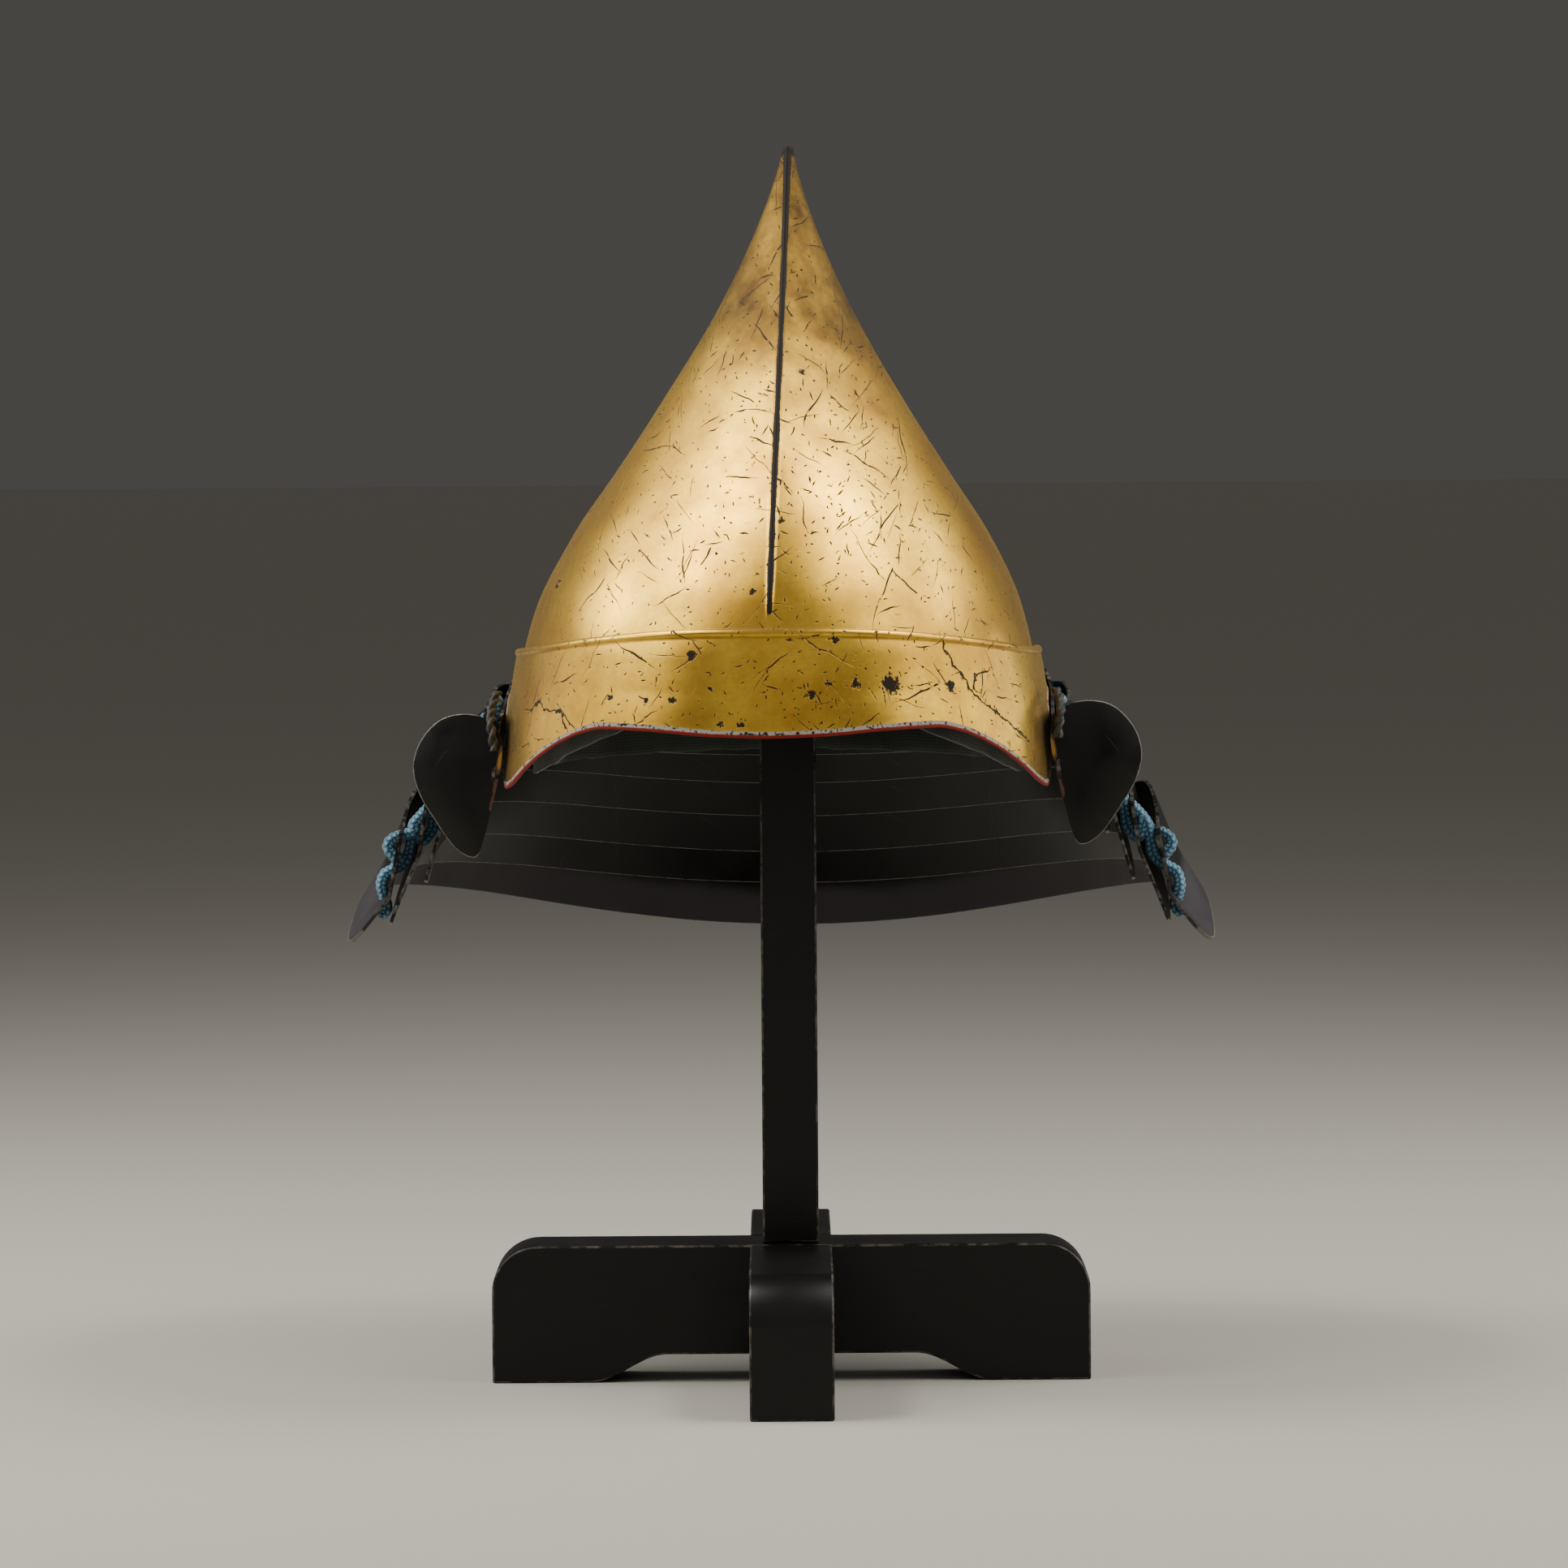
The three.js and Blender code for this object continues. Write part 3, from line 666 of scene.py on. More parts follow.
    def cracked(self, recipe: Recipe, chart: Socket, beside: Socket, near: Socket) -> Socket:
        """Add the cracks, which wander along the zero line of their mark.

        Args:
            recipe: The material.
            chart: The surface's own chart, in millimetres.
            beside: How far to one side of a crack's path it is, in millimetres.
            near: 1 close to a crack and 0 elsewhere.

        Returns:
            1 on a crack and 0 off it.
        """
        add = recipe.add
        bend = add("TexNoise", {"Vector": chart, "Scale": 0.3, "Detail": 2.0, "Roughness": 0.5},
                   noise_dimensions="2D")
        bend = add("Math", {0: bend, 1: 0.5}, operation="SUBTRACT")
        off = add("Math", {0: bend, 1: 4.0, 2: beside}, operation="MULTIPLY_ADD")
        off = add("Math", {0: off}, operation="ABSOLUTE")
        crack = add("MapRange", {0: off, 1: 0.75, 2: 0.4})
        return add("Math", {0: crack, 1: near}, operation="MULTIPLY")

    def bared(self, recipe: Recipe, chart: Socket, worn: Socket) -> Socket:
        """Add the worn rim's colour: black flecked with grey, then a line of red.

        Args:
            recipe: The material.
            chart: The surface's own chart, in millimetres.
            worn: How far into the rim it is.

        Returns:
            The colour.
        """
        add = recipe.add
        lowest = add("MapRange", {0: worn, 1: 3.3, 2: 3.5})
        fleck = add("TexNoise", {"Vector": chart, "Scale": 0.5, "Detail": 3.0},
                    noise_dimensions="2D")
        fleck = add("MapRange", {0: fleck, 1: 0.36, 2: 0.46})
        bare = add("Mix", {0: fleck, 6: linear(self.ground), 7: linear(self.grey)})
        return add("Mix", {0: lowest, 6: bare, 7: linear(self.red)})

    def material(self) -> bpy.types.Material:
        """Make the material.

        Returns:
            The material. It reads the marks keel, chip, edge, scuff, crack and crack_near.
        """
        recipe = Recipe("gold leaf under lacquer")
        add = recipe.add
        keel, chip, edge, scuff, crack, crack_near = (
            add("Attribute", {}, attribute_name=name)
            for name in ("keel", "chip", "edge", "scuff", "crack", "crack_near")
        )
        chart, place = recipe.chart(), add("TexCoord", {})
        clouds = add("TexNoise", {"Vector": place, "Scale": 22.0, "Detail": 5.0, "Roughness": 0.62})
        mottle = add("TexNoise", {"Vector": place, "Scale": 420.0, "Detail": 3.0, "Roughness": 0.7})
        ragged = add("TexNoise", {"Vector": chart, "Scale": 0.55, "Detail": 4.0, "Roughness": 0.7},
                     noise_dimensions="2D")
        colour = self.gilded(recipe, chart, clouds, mottle)
        # The leaf is made darker and duller toward the tip, in clouds.
        tip_darkening = self.tip_darkening(recipe, place, clouds)
        share = add("Math", {0: tip_darkening, 1: 0.95}, operation="MULTIPLY", use_clamp=True)
        colour = add("Mix", {0: share, 6: colour, 7: linear(self.tip_dark)})

        dark = add("Math", {0: self.scratched(recipe, chart, scuff),
                            1: self.chipped(recipe, chart, ragged, chip)}, operation="MAXIMUM")
        dark = add("Math", {0: dark, 1: self.cracked(recipe, chart, crack, crack_near)},
                   operation="MAXIMUM")
        colour = add("Mix", {0: dark, 6: colour, 7: linear(self.scratch)})

        # The seam is rubbed black, with specks of gold left on it.
        seam = add("Math", {0: ragged, 1: 0.7, 2: keel}, operation="MULTIPLY_ADD")
        seam = add("MapRange", {0: seam, 1: 0.86, 2: 0.98})
        colour = add("Mix", {0: seam, 6: colour, 7: linear(self.ground)})

        worn = add("Math", {0: ragged, 1: 0.6, 2: edge}, operation="MULTIPLY_ADD")
        rim = add("MapRange", {0: worn, 1: 1.75, 2: 2.1})
        colour = add("Mix", {0: rim, 6: colour, 7: self.bared(recipe, chart, worn)})

        dull = add("Math", {0: seam, 1: rim}, operation="MAXIMUM")
        dull = add("Math", {0: dark, 1: dull}, operation="MAXIMUM")
        metal = add("MapRange", {0: dull, 3: 0.92, 4: 0.0})
        rough = add("MapRange", {0: clouds, 1: 0.3, 2: 0.7, 3: 0.36, 4: 0.29})
        rough = add("Math", {0: tip_darkening, 1: 0.26, 2: rough}, operation="MULTIPLY_ADD")
        rough = add("Mix", {0: dull, 2: rough, 3: 0.62}, out=0, data_type="FLOAT")
        height = add("Math", {0: mottle, 1: 0.12}, operation="MULTIPLY")
        height = add("Math", {0: dull, 1: -0.5, 2: height}, operation="MULTIPLY_ADD")
        bump = add("Bump", {"Height": height, "Strength": 0.5, "Distance": 0.00025})
        # Bare ground hardly shines, and a film of dust greys the leaf a little.
        shine = add("MapRange", {0: dull, 3: 0.5, 4: 0.1})
        return recipe.finish(Base_Color=colour, Metallic=metal, Roughness=rough, Normal=bump,
                             Specular_IOR_Level=shine, Sheen_Weight=0.1, Sheen_Roughness=0.6,
                             Sheen_Tint=linear(self.dust))


@dataclass(frozen=True)
class RedLacquer:
    """Red lacquer brushed on the underside of the peak: a warm, slightly uneven gloss."""

    red: str = "#84211a"
    worn: str = "#3a1510"

    def material(self) -> bpy.types.Material:
        """Make the material.

        Returns:
            The material.
        """
        recipe = Recipe("red lacquer")
        add = recipe.add
        place = add("TexCoord", {})
        clouds = add("TexNoise", {"Vector": place, "Scale": 60.0, "Detail": 4.0})
        share = add("MapRange", {0: clouds, 1: 0.35, 2: 0.6})
        colour = add("Mix", {0: share, 6: linear(self.worn), 7: linear(self.red)})
        return recipe.finish(Base_Color=colour, Roughness=0.32, Coat_Weight=0.4,
                             Coat_Roughness=0.15)


@dataclass(frozen=True)
class BlackLacquer:
    """Many coats of black lacquer on thin iron: deep, slightly brown and glossy, with a faint haze
    of handling, fine hairlines, and grey iron showing where the edges are rubbed."""

    name: str = "black lacquer"
    black: str = "#070605"
    haze: str = "#100e0c"
    rubbed: str = "#77726b"
    painted_lit_grey: str = "#332f34"
    under: str = "#5a3c2e"
    gold: str = "#a07a34"
    gloss: float = 0.26

    def material(self) -> bpy.types.Material:
        """Make the material.

        Returns:
            The material. It reads the marks edge, which is 1 on a rubbed edge; the painted-light
            mark, which is 1 where the black is painted lighter as if lit; and bare, which is 1
            where it is flaked and 2 where gold shows.
        """
        recipe = Recipe(self.name)
        add = recipe.add
        edge = add("Attribute", {}, attribute_name="edge")
        none = add("Attribute", {}, attribute_name="scuff")
        painted_light = add("Attribute", {}, attribute_name="painted_light")
        bare = add("Attribute", {}, attribute_name="bare")
        chart = recipe.chart()
        place = add("TexCoord", {})
        clouds = add("TexNoise", {"Vector": place, "Scale": 26.0, "Detail": 6.0, "Roughness": 0.6})
        fine = add("TexNoise", {"Vector": place, "Scale": 700.0, "Detail": 2.0})
        strokes = Scratches(24, 20, 0.16, 0.5, 41.0).drawn(recipe, chart, none)
        share = add("MapRange", {0: clouds, 1: 0.42, 2: 0.75, 3: 0.0, 4: 0.8})
        colour = add("Mix", {0: share, 6: linear(self.black), 7: linear(self.haze)})
        stroke_share = add("Math", {0: strokes, 1: 0.14}, operation="MULTIPLY")
        colour = add("Mix", {0: stroke_share, 6: colour, 7: linear(self.rubbed)})
        ragged = add("TexNoise", {"Vector": place, "Scale": 260.0, "Detail": 4.0, "Roughness": 0.7})
        # On the marked part of the last plate the black is painted a lighter cloudy violet grey, as
        # if
        # that face were lit: painted light. It is made rougher there too.
        cloudy = add("MapRange", {0: clouds, 1: 0.3, 2: 0.7, 3: 0.55, 4: 1.0})
        painted_lit_grey = add("Math", {0: painted_light, 1: cloudy}, operation="MULTIPLY")
        colour = add("Mix", {0: painted_lit_grey, 6: colour, 7: linear(self.painted_lit_grey)})
        # Flaked patches show the brown and gold beneath.
        flaked = add("MapRange", {0: add("Math", {0: ragged, 1: 0.9, 2: bare},
                     operation="MULTIPLY_ADD"), 1: 1.1, 2: 1.2})
        gilded = add("MapRange", {0: bare, 1: 1.1, 2: 1.5})
        under = add("Mix", {0: gilded, 6: linear(self.under), 7: linear(self.gold)})
        colour = add("Mix", {0: flaked, 6: colour, 7: under})
        # Edges are rubbed to grey in a broken line. On the lames' front ends and the turn-backs'
        # outer edges this grey is partly a painted highlight.
        worn = add("Math", {0: ragged, 1: 0.7, 2: edge}, operation="MULTIPLY_ADD")
        worn = add("MapRange", {0: worn, 1: 1.14, 2: 1.3})
        colour = add("Mix", {0: worn, 6: colour, 7: linear(self.rubbed)})
        rough = add("MapRange", {0: clouds, 1: 0.35, 2: 0.7, 3: self.gloss, 4: self.gloss + 0.16})
        rough = add("Math", {0: worn, 1: 0.2, 2: rough}, operation="MULTIPLY_ADD")
        rough = add("Math", {0: painted_lit_grey, 1: 0.3, 2: rough}, operation="MULTIPLY_ADD")
        height = add("Math", {0: worn, 1: -0.6, 2: fine}, operation="MULTIPLY_ADD")
        bump = add("Bump", {"Height": height, "Strength": 0.18, "Distance": 0.0002})
        metal = add("Math", {0: worn, 1: 0.5}, operation="MULTIPLY")
        return recipe.finish(Base_Color=colour, Metallic=metal, Roughness=rough, Normal=bump,
                             IOR=1.34)


@dataclass(frozen=True)
class LiningCloth:
    """Plain-woven hemp, grey-green and soiled: matt, with threads about a millimetre apart, drawn a
    little coarser than real so that they show."""

    cloth: str = "#434c41"
    soiled: str = "#23271f"
    spacing: float = 1.2

    def material(self) -> bpy.types.Material:
        """Make the material.

        Returns:
            The material. It reads the sheet's own chart.
        """
        recipe = Recipe("woven hemp")
        add = recipe.add
        chart = recipe.chart()
        threads = {"Vector": chart, "Scale": 2 * math.pi / self.spacing / 20, "Distortion": 0.6,
                   "Detail": 1.0}
        warp = add("TexWave", threads, out=1, bands_direction="X")
        weft = add("TexWave", threads, out=1, bands_direction="Y")
        weave = add("Math", {0: warp, 1: weft}, operation="MULTIPLY")
        place = add("TexCoord", {})
        stain = add("TexNoise", {"Vector": place, "Scale": 30.0, "Detail": 5.0})
        share = add("MapRange", {0: stain, 1: 0.35, 2: 0.65})
        colour = add("Mix", {0: share, 6: linear(self.soiled), 7: linear(self.cloth)})
        shade = add("MapRange", {0: weave, 3: 0.45, 4: 1.1})
        colour = add("VectorMath", {0: colour, "Scale": shade}, operation="SCALE")
        bump = add("Bump", {"Height": weave, "Strength": 0.6, "Distance": 0.0004})
        return recipe.finish(Base_Color=colour, Roughness=0.92, Normal=bump, Sheen_Weight=0.25)


@dataclass(frozen=True)
class BlueCord:
    """Round braid of dyed silk, faded unevenly: matt with a soft sheen. Its plaits' crowns are
    painted paler and the hollows between them darker: painted highlight and painted shade."""

    pale: str = "#6da0b9"
    mid: str = "#336a87"
    deep: str = "#0e2036"

    def material(self) -> bpy.types.Material:
        """Make the material.

        Returns:
            The material. It reads the mark crown, which is 1 on a plait's crown.
        """
        recipe = Recipe("braided blue silk")
        add = recipe.add
        crown = add("Attribute", {}, attribute_name="crown")
        place = add("TexCoord", {})
        fade = add("TexNoise", {"Vector": place, "Scale": 90.0, "Detail": 3.0})
        fibre = add("TexNoise", {"Vector": place, "Scale": 2600.0, "Detail": 2.0})
        # Crowns painted paler, hollows between plaits darker: painted highlight and painted shade.
        level = add("Math", {0: fade, 1: 0.5, 2: add("Math", {0: crown, 1: 0.8, 2: -0.26},
                    operation="MULTIPLY_ADD")}, operation="MULTIPLY_ADD")
        level = add("Math", {0: fibre, 1: 0.25, 2: level}, operation="MULTIPLY_ADD")
        colour = add("ValToRGB", {0: level})
        ramp = colour.node.color_ramp
        ramp.elements[0].position, ramp.elements[0].color = 0.22, linear(self.deep)
        ramp.elements[1].position, ramp.elements[1].color = 0.58, linear(self.mid)
        ramp.elements.new(0.86).color = linear(self.pale)
        bump = add("Bump", {"Height": fibre, "Strength": 0.4, "Distance": 0.0003})
        return recipe.finish(Base_Color=colour, Roughness=0.8, Normal=bump, Sheen_Weight=0.35,
                             Sheen_Roughness=0.5)


@dataclass(frozen=True)
class TieLeather:
    """Thin leather, twisted and dried dark: dull, cracked across and paler on its crests."""

    dark: str = "#211d1a"
    crest: str = "#4f4942"

    def material(self) -> bpy.types.Material:
        """Make the material.

        Returns:
            The material.
        """
        recipe = Recipe("dried leather")
        add = recipe.add
        place = add("TexCoord", {})
        grain = add("TexNoise", {"Vector": place, "Scale": 500.0, "Detail": 5.0, "Roughness": 0.7})
        share = add("MapRange", {0: grain, 1: 0.45, 2: 0.7})
        colour = add("Mix", {0: share, 6: linear(self.dark), 7: linear(self.crest)})
        bump = add("Bump", {"Height": grain, "Strength": 0.7, "Distance": 0.0004})
        return recipe.finish(Base_Color=colour, Roughness=0.68, Normal=bump)


@dataclass(frozen=True)
class StandLacquer:
    """Black lacquer on planed wood: a low even sheen over faint long grain, with brown wood showing
    in a thin broken line where the arrises are rubbed."""

    black: str = "#070605"
    grain: str = "#110e0d"
    rubbed: str = "#6b625a"

    def material(self) -> bpy.types.Material:
        """Make the material.

        Returns:
            The material. It reads the mark edge, which is 1 on a rubbed arris.
        """
        recipe = Recipe("black lacquered wood")
        add = recipe.add
        edge = add("Attribute", {}, attribute_name="edge")
        chart = add("UVMap", {}, uv_map="Surface")
        place = add("TexCoord", {})
        long = add("Mapping", {"Vector": chart, "Scale": (30.0, 900.0, 1.0)})
        grain = add("TexNoise", {"Vector": long, "Scale": 1.0, "Detail": 4.0, "Roughness": 0.6})
        clouds = add("TexNoise", {"Vector": place, "Scale": 24.0, "Detail": 5.0})
        share = add("MapRange", {0: grain, 1: 0.4, 2: 0.75, 3: 0.0, 4: 0.8})
        colour = add("Mix", {0: share, 6: linear(self.black), 7: linear(self.grain)})
        ragged = add("TexNoise", {"Vector": place, "Scale": 140.0, "Detail": 4.0, "Roughness": 0.7})
        worn = add("Math", {0: ragged, 1: 0.9, 2: edge}, operation="MULTIPLY_ADD")
        worn = add("MapRange", {0: worn, 1: 1.4, 2: 1.62, 4: 0.8})
        colour = add("Mix", {0: worn, 6: colour, 7: linear(self.rubbed)})
        rough = add("MapRange", {0: clouds, 1: 0.35, 2: 0.7, 3: 0.34, 4: 0.48})
        height = add("Math", {0: worn, 1: -0.5, 2: grain}, operation="MULTIPLY_ADD")
        bump = add("Bump", {"Height": height, "Strength": 0.15, "Distance": 0.0003})
        return recipe.finish(Base_Color=colour, Roughness=rough, Normal=bump, IOR=1.34)


@dataclass
class Finishes:
    """Every finish of the part, made once."""

    gilt: bpy.types.Material
    red: bpy.types.Material
    black: bpy.types.Material
    cloth: bpy.types.Material
    cord: bpy.types.Material
    leather: bpy.types.Material
    stand: bpy.types.Material

    @classmethod
    def made(cls) -> "Finishes":
        """Make them all.

        Returns:
            The finishes.
        """
        return cls(
            GiltLacquer().material(), RedLacquer().material(), BlackLacquer().material(),
            LiningCloth().material(), BlueCord().material(), TieLeather().material(),
            StandLacquer().material(),
        )


# ---- The helmet ----

SEAT = Seat()
# How much higher the turn-back and the tie sit on the wearer's left, and lower on the right.
LIFT = 2.2


@dataclass
class Bowl:
    """The pointed iron bowl: its outside by height, with half-width, reaches and keel.

    Keel is 0 on a round brow and 1 on a knife edge.
    """

    outside: Table = field(default_factory=lambda: Table(
        (280, 113.5, 125.5, 129, 0),
        (296, 112, 124.5, 127.5, 0),
        (314, 109, 122, 124.5, 0),
        (335, 103.2, 117, 118.5, 0.12),
        (363, 89.3, 104, 104.5, 0.35),
        (390, 71.4, 86.5, 85.5, 0.5),
        (418, 53.3, 66.5, 65, 0.6),
        (446, 36.4, 46, 45, 0.65),
        (474, 21.6, 27, 26.5, 0.7),
        (495, 12.5, 15.2, 15, 0.7),
        (509, 7.3, 8.8, 8.8, 0.7),
        (523, 3.3, 3.9, 3.9, 0.6),
        (528.5, 2.3, 2.6, 2.6, 0.2),
        (530, 0.01, 0.01, 0.01, 0),
    ))
    wall: float = 2.0
    slant: float = 1.12
    lean_from: float = 314.0
    lean_by: float = 5.5
    tip: float = 530.0
    cap_from: float = 523.0
    cap_share: float = 0.94
    rim_front: float = 297.0
    rim_side: float = 280.0
    uneven: float = 0.35
    swell: float = 34.0
    seam_height: float = 1.2
    seam_starts: tuple[float, float] = (324.0, 346.0)
    seam_ends: tuple[float, float] = (522.0, 528.0)
    scuffed_at: tuple[float, float] = (24.0, 395.0)
    seam_steps: tuple[float, ...] = (0, 0.5, 1.0, 1.5, 2.1, 2.8, 3.6)
    columns: int = 192
    rows: int = 132

    def rim(self, angle: float) -> float:
        """Return the height of the lower edge at an angle from the front."""
        return lerp(self.rim_front, self.rim_side, smooth(abs(angle), 35, 80))

    def point(self, angle: float, z: float, out: float = 0.0) -> Vector:
        """Return a point of the outside.

        Args:
            angle: Degrees from the front, and negative on the wearer's right.
            z: Height.
            out: How far outside the surface.

        Returns:
            The point, in the helmet's own frame.
        """
        half, front, back, keel = self.outside.at(z)
        turn = abs(math.radians(angle))
        reach = front if math.cos(turn) > 0 else back
        along = lerp(math.cos(turn), 1 - 2 * turn / math.pi, keel)
        shift = self.lean_by * max(0.0, (z - self.lean_from) / (self.tip - self.lean_from))
        x = (half + out) * math.sin(math.radians(angle)) + shift
        return Vector((x, -(reach + out) * along, z))

    def angle(self, u: float, z: float) -> float:
        """Find a column's angle, with columns drawn together at the seam, front and back.

        Args:
            u: Share of the way round, from the back by the wearer's right.
            z: Height.

        Returns:
            Degrees from the front, and negative on the wearer's right.
        """
        half = self.outside.at(z)[0]
        count = self.columns // 2
        index = abs(2 * u - 1) * count
        steps = self.seam_steps
        last = len(steps) - 1
        edge = math.asin(min(0.5, steps[-1] / max(half, 1e-3)))
        near = min(index, count - index)
        if near <= last:
            low = int(near)
            step = lerp(steps[low], steps[min(low + 1, last)], near - low)
            found = math.degrees(math.asin(step / steps[-1] * math.sin(edge)))
        else:
            share = (near - last) / (count / 2 - last)
            found = lerp(math.degrees(edge), 90.0, share)
        if index > count / 2:
            found = 180 - found
        return math.copysign(found, u - 0.5)

    def height(self, u: float, v: float) -> float:
        """Find a row's height, with rows drawn together at the tip.

        Args:
            u: Share of the way round.
            v: Share of the way up.

        Returns:
            The height.
        """
        low = self.rim(360 * (u - 0.5))
        if v < self.cap_share:
            return lerp(low, self.cap_from, v / self.cap_share)
        early = 2 * self.cap_share - 1
        return lerp(self.cap_from, self.tip, smooth(v, early, 1.0) * 2 - 1) if v < 1 else self.tip

    def across(self, u: float, z: float) -> float:
        """Return how far a column is to the side of the seam."""
        return abs(self.outside.at(z)[0] * math.sin(math.radians(self.angle(u, z))))

    def seam(self, u: float, z: float) -> float:
        """Return how far the seam stands up, as a share of its full height."""
        fades = smooth(z, *self.seam_starts) * (1 - smooth(z, *self.seam_ends))
        return (1 - smooth(self.across(u, z), 0.5, 1.8)) * fades

    def place(self, u: float, v: float) -> Vector:
        """Place a point of the bowl.

        Args:
            u: Share of the way round.
            v: Share of the way up.

        Returns:
            The point in the part's frame, in metres.
        """
        z = self.height(u, v)
        angle = self.angle(u, z)
        point = self.point(angle, z)
        rise = self.seam_height * self.seam(u, z) * (1 + 0.12 * waver(0, 0, z, 6.0))
        point.y += rise * (-1 if abs(angle) < 90 else 1)
        beaten = self.uneven * waver(point.x, point.y, point.z, self.swell)
        point += Vector((point.x, point.y, 0)).normalized() * beaten * (1 - smooth(z, 470, 510))
        return SEAT.placed(point)

    def chart(self, u: float, v: float) -> tuple[float, float]:
        """Find a place on the surface's chart.

        Args:
            u: Share of the way round.
            v: Share of the way up.

        Returns:
            How far round it and up it, in metres.
        """
        z = self.height(u, v)
        half, front, *_ = self.outside.at(z)
        return math.radians(self.angle(u, z)) * (half + front) / 2 * MM, z * self.slant * MM

    def rubbed(self, u: float, v: float) -> float:
        """Find how far the seam is rubbed black.

        Args:
            u: Share of the way round.
            v: Share of the way up.

        Returns:
            From 0 to 1.
        """
        z = self.height(u, v)
        wide = 1.15 + 0.45 * waver(0, 40, z, 9.0) + 0.5 * smooth(z, 480, 520)
        worn = 1 - smooth(self.across(u, z), wide * 0.5, wide + 0.9)
        return max(worn * smooth(z, 328, 334), smooth(z, 521, 526) * 0.75)

    def chipped(self, u: float, v: float) -> float:
        """Return how near the nearest chip is."""
        z = self.height(u, v)
        return marked(BOWL_CHIPS, self.angle(u, z), z, self.outside.at(z)[0])

    def scuffed(self, u: float, v: float) -> float:
        """Find how scuffed the bowl is: most on the wearer's left of the seam, at mid height.

        Args:
            u: Share of the way round.
            v: Share of the way up.

        Returns:
            From 0 to 1.
        """
        z = self.height(u, v)
        return 0.15 + 0.6 * faded(self.angle(u, z) - self.scuffed_at[0],
                                  (z - self.scuffed_at[1]) * 0.6, 40)

    def build(self, finishes: Finishes) -> bpy.types.Object:
        """Make the bowl.

        Args:
            finishes: The part's finishes.

        Returns:
            The bowl.
        """
        shell = Shell(
            self.columns, self.rows, self.place, self.chart,
            {"keel": self.rubbed, "chip": self.chipped, "scuff": self.scuffed},
            closed=True, poles=(1.0,),
        )
        bowl = make_piece("bowl_shell", shell.build(), [finishes.gilt, finishes.black], Slot.GILT,
                          ["bowl"])
        thicken(bowl, self.wall, -1, lined=True)
        return bowl


def marked(
    marks: Sequence[tuple[float, float, float]], angle: float, z: float, half: float
) -> float:
    """Return how near the nearest of some marks is.

    Args:
        marks: The angle, height and size of each.
        angle: Where to look, in degrees from the front.
        z: Where to look, as a height.
        half: The surface's half-width there, which turns degrees into millimetres.

    Returns:
        1 at a mark's middle, falling to 0 at twice its size.
    """
    return max(
        faded(math.radians(angle - at) * half, z - height, 2.2 * size) for at, height, size in marks
    )


# Chips and stains, each by its angle from the front, its height and its size.
BOWL_CHIPS = (
    (-68, 343, 3.2),
    (2.5, 370, 1.6),
    (-4, 341, 1.8),
    (28, 372, 1.2),
    (12, 432, 1.5),
    (-30, 436, 1.2),
)
BROW_CHIPS = (
    (26, 302.5, 4.6),
    (-16.4, 315, 2.6),
    (14.3, 321, 2.0),
    (18.4, 303, 2.4),
    (8.8, 299, 2.2),
    (12.5, 303, 1.8),
    (40.7, 301, 2.6),
    (-20, 296.5, 2.0),
    (-26, 296.5, 1.6),
    (-35, 297.5, 1.6),
    (-12, 302, 1.4),
    (-9.5, 287, 1.8),
    (-5.5, 286.8, 1.8),
)


@dataclass(frozen=True)
class Crack:
    """A crack's path over the brow: the angle from the front and the height of each point."""

    path: tuple[tuple[float, float], ...]
    half: float = 118.0

    def flat(self, angle: float, z: float) -> Vector:
        """Return a place on the brow laid flat, in millimetres."""
        return Vector((math.radians(angle) * self.half, z))

    def beside(self, angle: float, z: float) -> float:
        """Return how far from the crack a place is, and negative on its right.

        Args:
            angle: The place's angle from the front.
            z: The place's height.

        Returns:
            The distance, in millimetres.
        """
        at = self.flat(angle, z)
        found = 1e3
        for low, high in zip(self.path, self.path[1:]):
            start, end = self.flat(*low), self.flat(*high)
            run = end - start
            share = min(max((at - start).dot(run) / run.length_squared, 0.0), 1.0)
            off = at - (start + run * share)
            if off.length < abs(found):
                found = math.copysign(off.length, run.x * off.y - run.y * off.x)
        return found


